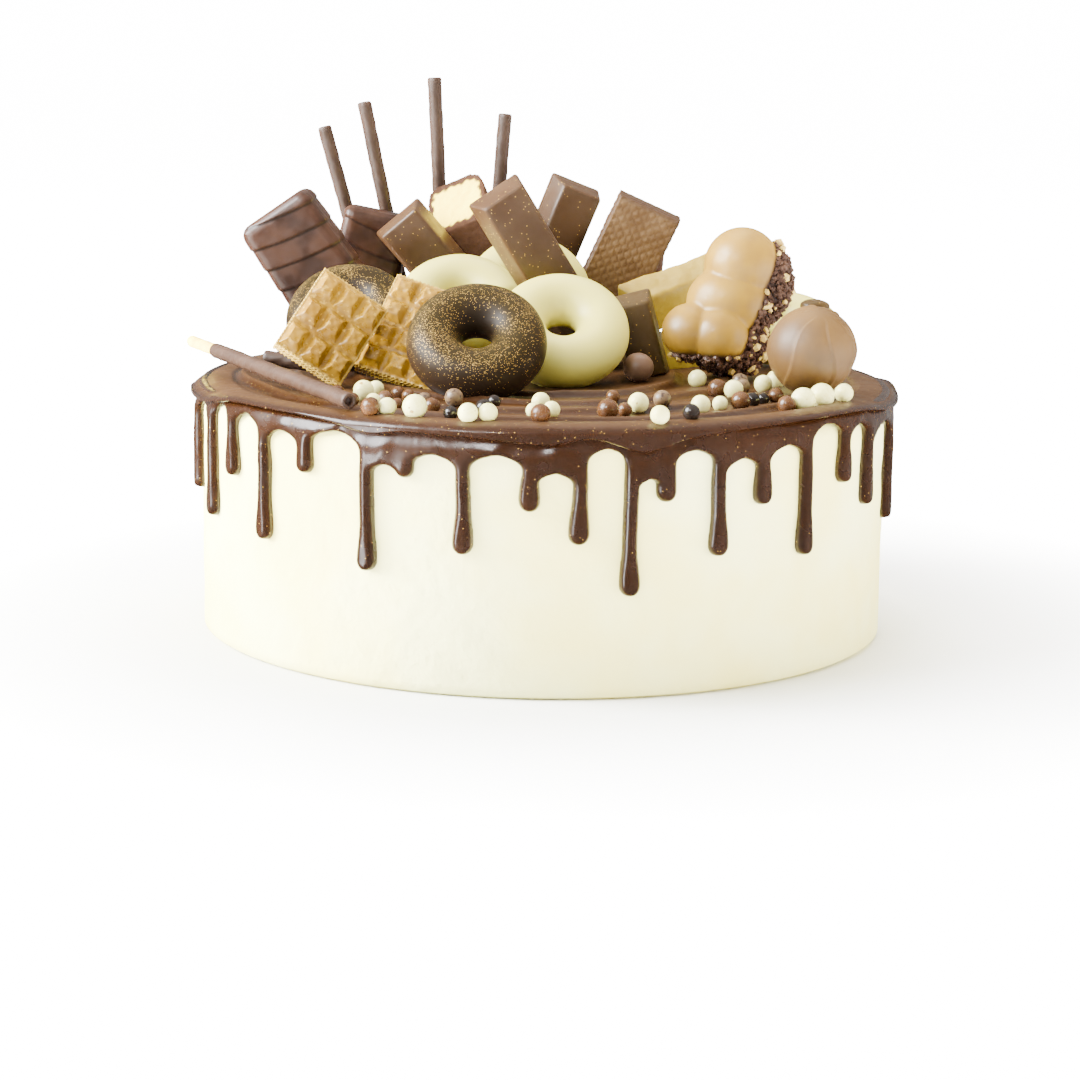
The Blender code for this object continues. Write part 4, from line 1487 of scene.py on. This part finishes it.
@dataclass
class Truffle:
    """A moulded ball with raised leaf lines meeting at its top."""

    bench: Workbench
    centre: Point
    radius: float = 0.0136
    leaves: int = 6
    leaf_depth: float = 0.034
    vein_height: float = 0.010
    pole: tuple[float, float] = (20, 62)

    def leafed(self, points: np.ndarray) -> np.ndarray:
        """The ball's points sunk between the leaves and raised along their veins.

        Args:
            points: the plain ball's points, in rows.

        Returns:
            The moved points.
        """
        unit = points / self.radius
        azimuth, elevation = self.pole
        pole = np.array(direction(azimuth, elevation))
        side = np.array(direction(azimuth, elevation - 90))
        turn = np.arctan2(unit @ np.cross(pole, side), unit @ side)
        polar = np.arccos(np.clip(unit @ pole, -1, 1))
        phase = (turn / (2 * math.pi) * self.leaves + 0.10 * np.sin(polar * 3)) % 1
        leaf = (1 - phase) ** 0.7 * ease(phase, 0.0, 0.06)
        spread = ease(polar, 0.12, 0.5) * (1 - ease(polar, 2.1, 2.6))
        vein = np.exp(-(((phase - 0.06) / 0.035) ** 2))
        swell = 1 - self.leaf_depth * spread * (1 - leaf) + self.vein_height * spread * vein
        return points * swell[:, None] * 0.99

    def build(self) -> None:
        """Makes the ball."""
        piece = self.bench.ball("truffle_ball_shell", 160, 100, self.radius)
        self.bench.reshape(piece, self.leafed)
        self.bench.settle(piece, TRUFFLE, Matrix.Translation(self.centre), "truffle_ball")


@dataclass
class Button:
    """A low domed chocolate button."""

    bench: Workbench
    centre: Point
    radius: float = 0.0048
    height: float = 0.0046

    def build(self) -> None:
        """Makes the button."""
        piece = self.bench.ball("milk_button_dome", 48, 32, self.radius)
        self.bench.stretched(piece, (1, 1, self.height / self.radius))
        self.bench.roughen(piece, 0.005, 0.0001)
        self.bench.settle(piece, BUTTON, Matrix.Translation(self.centre), "milk_button")


@dataclass
class Drop:
    """A small oval chocolate drop lying on the ring at the right."""

    bench: Workbench
    centre: Point
    size: tuple[float, float, float] = (0.0048, 0.0042, 0.0024)

    def build(self) -> None:
        """Makes the drop."""
        piece = self.bench.stretched(self.bench.ball("donut_white_right_drop", 40, 24), self.size)
        self.bench.roughen(piece, 0.004, 0.0003)
        self.bench.settle(piece, CHUNK, Matrix.Translation(self.centre))


@dataclass
class LobedWafer:
    """A rounded wafer shell of soft lobes with a coat of crumbs round its back and foot."""

    bench: Workbench
    crumbs: int = 1250
    crumb_sizes: tuple[float, float] = (0.0004, 0.0011)
    nuts: int = 64
    nut_sizes: tuple[float, float] = (0.0008, 0.0017)
    foot: float = 0.0856
    seed: int = 5

    BACK = (0.0640, 0.0040, 0.1010)
    BACKWARDS = (0.86, 0.30, -0.38)
    LOBES = (
        ((0.0612, 0.0060, 0.1120), (0.0120, 0.0120, 0.0122)),
        ((0.0574, 0.0036, 0.1006), (0.0136, 0.0121, 0.0119)),
        ((0.0449, -0.0020, 0.0922), (0.0088, 0.0092, 0.0088)),
        ((0.0536, -0.0040, 0.0910), (0.0094, 0.0094, 0.0094)),
        ((0.0580, 0.0030, 0.0890), (0.0120, 0.0095, 0.0120)),
        ((0.0655, 0.0080, 0.1070), (0.0115, 0.0100, 0.0140)),
    )

    def shell(self) -> bpy.types.Object:
        """The joined lobes as one smooth skin."""
        made = []
        for centre, radii in self.LOBES:
            piece = self.bench.stretched(self.bench.ball("lobe", 40, 28), radii)
            piece.data.transform(Matrix.Translation(centre))
            made.append(piece)
        return self.bench.skinned(self.bench.joined("lobed_wafer_shell", made), 0.0006, 9)

    def coated(self, points: np.ndarray) -> np.ndarray:
        """How far each point is into the crumb coat: over 0 is inside it."""
        back = (points - np.array(self.BACK)) @ np.array(self.BACKWARDS)
        return np.maximum(back, self.foot - points[:, 2])

    def build(self) -> None:
        """Makes the shell and its crumbs."""
        piece = self.shell()
        self.bench.paint(piece, lambda points: ease(self.coated(points), -0.0016, 0.0004))
        self.scatter(piece)
        self.bench.settle(piece, SHELL, node="lobed_wafer")

    def scatter(self, shell: bpy.types.Object) -> None:
        """Sets angular crumbs on the coated part of the shell, by a seeded draw.

        Args:
            shell: the shell that they sit on.
        """
        chance = random.Random(self.seed)
        inside = self.coated(self.bench.points(shell))
        lowest = FOOT_Z + 0.0003
        spots = [spot for spot, deep in zip(shell.data.vertices, inside) if deep > 0 and spot.co.z > lowest]
        chosen = chance.sample(spots, min(self.crumbs + self.nuts, len(spots)))
        self.granules("lobed_wafer_crumbs", CRUMB, chosen[self.nuts:], self.crumb_sizes, chance)
        self.granules("lobed_wafer_nuts", NUT, chosen[:self.nuts], self.nut_sizes, chance)

    def granules(
        self, name: str, finish: Finish, spots: Sequence[bpy.types.MeshVertex], sizes: tuple[float, float],
        chance: random.Random,
    ) -> None:
        """Makes one piece of angular grains.

        Args:
            name: the piece's name.
            finish: its surface.
            spots: the shell's vertices that the grains sit on.
            sizes: the least and greatest radius.
            chance: the seeded draw.
        """
        bpy.ops.mesh.primitive_ico_sphere_add(subdivisions=1, radius=1)
        piece = self.bench.started(name)
        grains = bmesh.new()
        for spot in spots:
            size = chance.uniform(*sizes)
            stretch = Matrix.Diagonal([size * chance.uniform(0.5, 1.3) for _ in range(3)] + [1])
            axis = Vector((chance.random(), chance.random(), 1))
            turn = Matrix.Rotation(chance.uniform(0, 2 * math.pi), 4, axis.normalized())
            grain = piece.data.copy()
            grain.transform(Matrix.Translation(spot.co + spot.normal * size * 0.35) @ turn @ stretch)
            grains.from_mesh(grain)
            bpy.data.meshes.remove(grain)
        grains.to_mesh(piece.data)
        grains.free()
        self.bench.settle(piece, finish, node="lobed_wafer", smooth=20)


# Studio


@dataclass(frozen=True)
class Lamp:
    """A round soft light aimed at the cake.

    Glossy surfaces mirror it where it is mirrored, and it lights matt ones where it lights.
    """

    name: str
    place: Point
    across: float
    watts: float
    colour: Rgb
    mirrored: bool = False
    lights: bool = True

    AIM = Vector((0, 0, 0.06))

    def build(self) -> None:
        """Sets up the light."""
        data = bpy.data.lights.new(self.name, "AREA")
        data.shape = "DISK"
        data.size = self.across
        data.energy = self.watts
        data.color = self.colour
        made = bpy.data.objects.new(self.name, data)
        made.visible_glossy = self.mirrored
        made.visible_diffuse = self.lights
        turn = (self.AIM - Vector(self.place)).to_track_quat("-Z", "Y").to_matrix().to_4x4()
        made.matrix_world = Matrix.Translation(self.place) @ turn
        bpy.context.scene.collection.objects.link(made)


class Studio:
    """The camera, the floor, the backdrop and the lights."""

    CAMERA = (0.83953654, 0.19045316)
    PITCH = 0.19472
    YAW = -0.00088
    ROLL = 0.01463
    LAMPS = (
        Lamp("window", (-0.98, -0.30, 0.72), 0.85, 100, (0.93, 0.97, 1.0), mirrored=True),
        Lamp("side", (-1.15, 0.06, 0.28), 0.5, 180, (1.0, 1.0, 0.97)),
        Lamp("front", (-0.12, -0.82, 1.02), 0.9, 11, (1.0, 0.97, 0.90)),
        Lamp("glint", (-0.42, -0.95, 0.80), 0.14, 7, (1.0, 1.0, 1.0), mirrored=True),
        Lamp("low_glint", (-0.90, -0.62, -0.10), 0.28, 9, (0.96, 0.98, 1.0), mirrored=True, lights=False),
        Lamp("right", (1.05, -0.25, 0.10), 0.6, 29, (1.0, 0.95, 0.84)),
        Lamp("above", (0.05, 0.35, 1.05), 0.7, 50, (1.0, 0.98, 0.95)),
    )

    def build(self) -> None:
        """Sets up the whole studio."""
        self.camera()
        self.floor()
        self.backdrop()
        self.world()
        for lamp in self.LAMPS:
            lamp.build()

    def camera(self) -> None:
        """The camera, from the front and a little above."""
        away, height = self.CAMERA
        level = math.cos(self.PITCH)
        ahead = Vector((math.sin(self.YAW) * level, math.cos(self.YAW) * level, -math.sin(self.PITCH)))
        right = Vector((math.cos(self.YAW), -math.sin(self.YAW), 0))
        up = right.cross(ahead)
        sideways = math.cos(self.ROLL) * right + math.sin(self.ROLL) * up
        upward = math.cos(self.ROLL) * up - math.sin(self.ROLL) * right
        data = bpy.data.cameras.new("camera")
        data.lens = 90
        data.sensor_width = 36
        data.clip_start = 0.01
        made = bpy.data.objects.new("camera", data)
        turn = Matrix((sideways, upward, -ahead)).transposed().to_4x4()
        made.matrix_world = Matrix.Translation((0, -away, height)) @ turn
        bpy.context.scene.collection.objects.link(made)
        bpy.context.scene.camera = made

    def floor(self) -> None:
        """A pale floor that fades to plain white away from the cake."""
        bpy.ops.mesh.primitive_circle_add(vertices=96, radius=6, fill_type="NGON")
        piece = bpy.context.object
        piece.name = "floor"
        material, tree = new_material("floor")
        shader = material.node_tree.nodes["Principled BSDF"]
        where = tree.add("TexCoord").outputs["Object"]
        away = tree.add("VectorMath", {"operation": "LENGTH"}, in_0=where).outputs["Value"]
        grain = tree.clouds(where, 8, 0.80, 0.84)
        grey = tree.add("CombineColor", in_0=grain, in_1=grain, in_2=grain).outputs[0]
        tree.link(grey, shader.inputs["Base Color"])
        shader.inputs["Roughness"].default_value = 0.7
        shader.inputs["Emission Color"].default_value = (1, 1, 1, 1)
        tree.link(tree.spread(away, 0.11, 0.32, 0.0, 15.0), shader.inputs["Emission Strength"])
        piece.data.materials.append(material)
        piece.location.z = -0.0002
        piece.visible_glossy = False
        piece.visible_shadow = False

    def backdrop(self) -> None:
        """A white dome that only the camera sees."""
        bpy.ops.mesh.primitive_uv_sphere_add(segments=48, ring_count=24, radius=5.9)
        piece = bpy.context.object
        piece.name = "backdrop"
        material, tree = new_material("backdrop")
        nodes = material.node_tree.nodes
        nodes.remove(nodes["Principled BSDF"])
        white = tree.add("Emission", Color=(1, 1, 1, 1), Strength=16.0)
        tree.link(white.outputs[0], nodes["Material Output"].inputs[0])
        piece.data.materials.append(material)
        piece.visible_diffuse = False
        piece.visible_glossy = False
        piece.visible_shadow = False
        piece.visible_transmission = False

    def world(self) -> None:
        """Soft light from all round, brighter from behind and above."""
        world = bpy.data.worlds.new("studio")
        world.use_nodes = True
        bpy.context.scene.world = world
        tree = NodeTree(world.node_tree)
        background = world.node_tree.nodes["Background"]
        aim = tree.add("SeparateXYZ", in_0=tree.add("TexCoord").outputs["Generated"])
        above = tree.spread(aim.outputs[2], 0.3, 0.95, 0.0, 1.1)
        aside = tree.spread(tree.math("ABSOLUTE", aim.outputs[0]), 0.1, 1.0, 0.0, 0.5)
        behind = tree.spread(aim.outputs[1], 0.15, 0.95, 0.12, 0.45)
        strength = tree.math("ADD", tree.math("ADD", above, aside), behind)
        tree.link(strength, background.inputs["Strength"])
        background.inputs["Color"].default_value = (1.0, 0.98, 0.95, 1)


class DripCake:
    """The whole cake, built piece by piece."""

    def __init__(self) -> None:
        """Starts the materials and the workbench."""
        self.bench = Workbench(Paintbox())

    def build(self) -> None:
        """Makes every piece."""
        for parts in (self.cake, self.donuts, self.wafers, self.bars, self.rounds, self.sticks):
            for part in parts():
                part.build()

    def cake(self) -> Iterable:
        """The coat, the two ganache layers and the pearls."""
        bench = self.bench
        extra = back_pearls()
        return (
            Buttercream(bench), Drips(bench), TopLayer(bench),
            Pearls(bench, "pearls_white", PEARL_WHITE, WHITE_PEARLS + tuple(extra[0::3])),
            Pearls(bench, "pearls_milk", PEARL_MILK, MILK_PEARLS + tuple(extra[1::3])),
            Pearls(bench, "pearls_speckled", PEARL_SPECKLED, SPECKLED_PEARLS + tuple(extra[2::6])),
            Pearls(bench, "pearls_dark", PEARL_DARK, DARK_PEARLS + tuple(extra[5::6])),
        )

    def donuts(self) -> Iterable[Donut]:
        """The moulded rings."""
        bench = self.bench
        return (
            Donut(bench, "donut_dark_front", (-0.0204, -0.0389, 0.0921), 48, 0, DARK),
            Donut(bench, "donut_white_front", (0.0050, -0.0086, 0.0925), 48, 4, WHITE),
            Donut(bench, "donut_white_middle", (-0.0275, 0.0208, 0.0955), 48, 0, WHITE),
            Donut(bench, "donut_white_back", (-0.0060, 0.0460, 0.0965), 20, 0, WHITE),
            Donut(bench, "donut_dark_back", (-0.0613, 0.0034, 0.0943), 48, -4, DARK, 0.95),
            Donut(bench, "donut_white_right", (0.0765, 0.0380, 0.0891), 75, 10, WHITE, 0.95),
        )

    def wafers(self) -> Iterable:
        """The two waffle wafers and the slab."""
        bench = self.bench
        return (
            Waffle(bench, "waffle_left", (-0.0648, -0.0272, 0.0943), 44.1, 138.3, 0.8, 3, (0.0229, 0.0293)),
            Waffle(bench, "waffle_right", (-0.0402, -0.0152, 0.0913), 40.9, 147.2, -12.6, 4, (0.0250, 0.0340)),
            WaferSlab(bench, "wafer_slab", on_top(0.0128, 0.0700), (0.022, 0.0085, 0.053), 26, 67, 2, SLAB),
        )

    def bars(self) -> Iterable[Bar]:
        """The fingers, the filled and coconut bars and the blocks."""
        bench = self.bench
        finger = (0.019, 0.010)
        coconut = (0.021, 0.014)
        filled = (0.026, 0.019, 0.057)
        small_filled = (0.023, 0.012, 0.045)
        return (
            Finger(bench, "finger_bar_left", on_top(-0.0131, 0.0600), (*finger, 0.057), 41, -90, -4, MILK),
            Finger(bench, "finger_bar_middle", on_top(0.0177, 0.0240), (*finger, 0.066), 33, -71, 17, MILK),
            Finger(bench, "finger_bar_right", on_top(-0.0100, 0.0890), (*finger, 0.057), 22, 90, 23, MILK),
            Finger(bench, "dark_chunk", on_top(0.0323, 0.0082), (0.01425, 0.010, 0.0245), 16, -70, 1, CHUNK),
            Bar(
                bench, "white_block", on_top(0.0440, 0.0340), (0.022, 0.016, 0.0082), 0, 0, 0, CARAMEL_WHITE,
                edge=0.0015,
            ),
            LyingFinger(
                bench, "white_finger", (0, 0, 0), (*finger, 0.0369), 0, 0, 0, CARAMEL_WHITE,
                start=(0.0285, 0.0280, 0.0945), end=(0.0580, 0.0480, 0.1035), roll=30,
            ),
            FilledBar(bench, "filled_bar_left", on_top(-0.0558, 0.0380), filled, 35, -90, -2, MILK_BAR),
            FilledBar(bench, "filled_bar_right", on_top(-0.0650, 0.0725), small_filled, 11, 90, 3, MILK_BAR),
            CoconutBar(
                bench, "coconut_bar_left", on_top(-0.0096, 0.0735), (*coconut, 0.051), 24, -88, -14, COCONUT,
            ),
            CoconutBar(
                bench, "coconut_bar_right", on_top(0.0275, 0.0850), (*coconut, 0.0370), 4, 90, -2, COCONUT,
            ),
        )

    def rounds(self) -> Iterable:
        """The ball, the button and the lobed shell."""
        bench = self.bench
        return (
            Truffle(bench, (0.0798, -0.0358, 0.0910)), Button(bench, (0.0290, -0.0065, 0.0812)),
            Drop(bench, (0.0868, 0.0300, 0.0972)), LobedWafer(bench),
        )

    def sticks(self) -> Iterable[Stick]:
        """The coated sticks."""
        bench = self.bench
        return (
            standing_stick(bench, "stick_upright_1", on_top(-0.0563, 0.0850), 0.0740, 15.5, -80),
            standing_stick(bench, "stick_upright_2", on_top(-0.0459, 0.0850), 0.0815, 12, -74),
            standing_stick(bench, "stick_upright_3", on_top(-0.0345, 0.0930), 0.0880, 3, -90),
            standing_stick(bench, "stick_upright_4", on_top(-0.0202, 0.0980), 0.0760, 4, 90),
            Stick(bench, "stick_lying_left", (-0.1136, 0.0200, 0.0843), (-0.0545, -0.0900, 0.0814), bare=0.022),
            Stick(bench, "stick_lying_back", (-0.0860, -0.0200, 0.0844), (-0.0600, -0.0225, 0.0814)),
        )


def main() -> None:
    """Builds the cake and the studio."""
    logging.basicConfig(level=logging.INFO, format="%(name)s: %(message)s")
    DripCake().build()
    Studio().build()


if __name__ == "__main__":
    main()
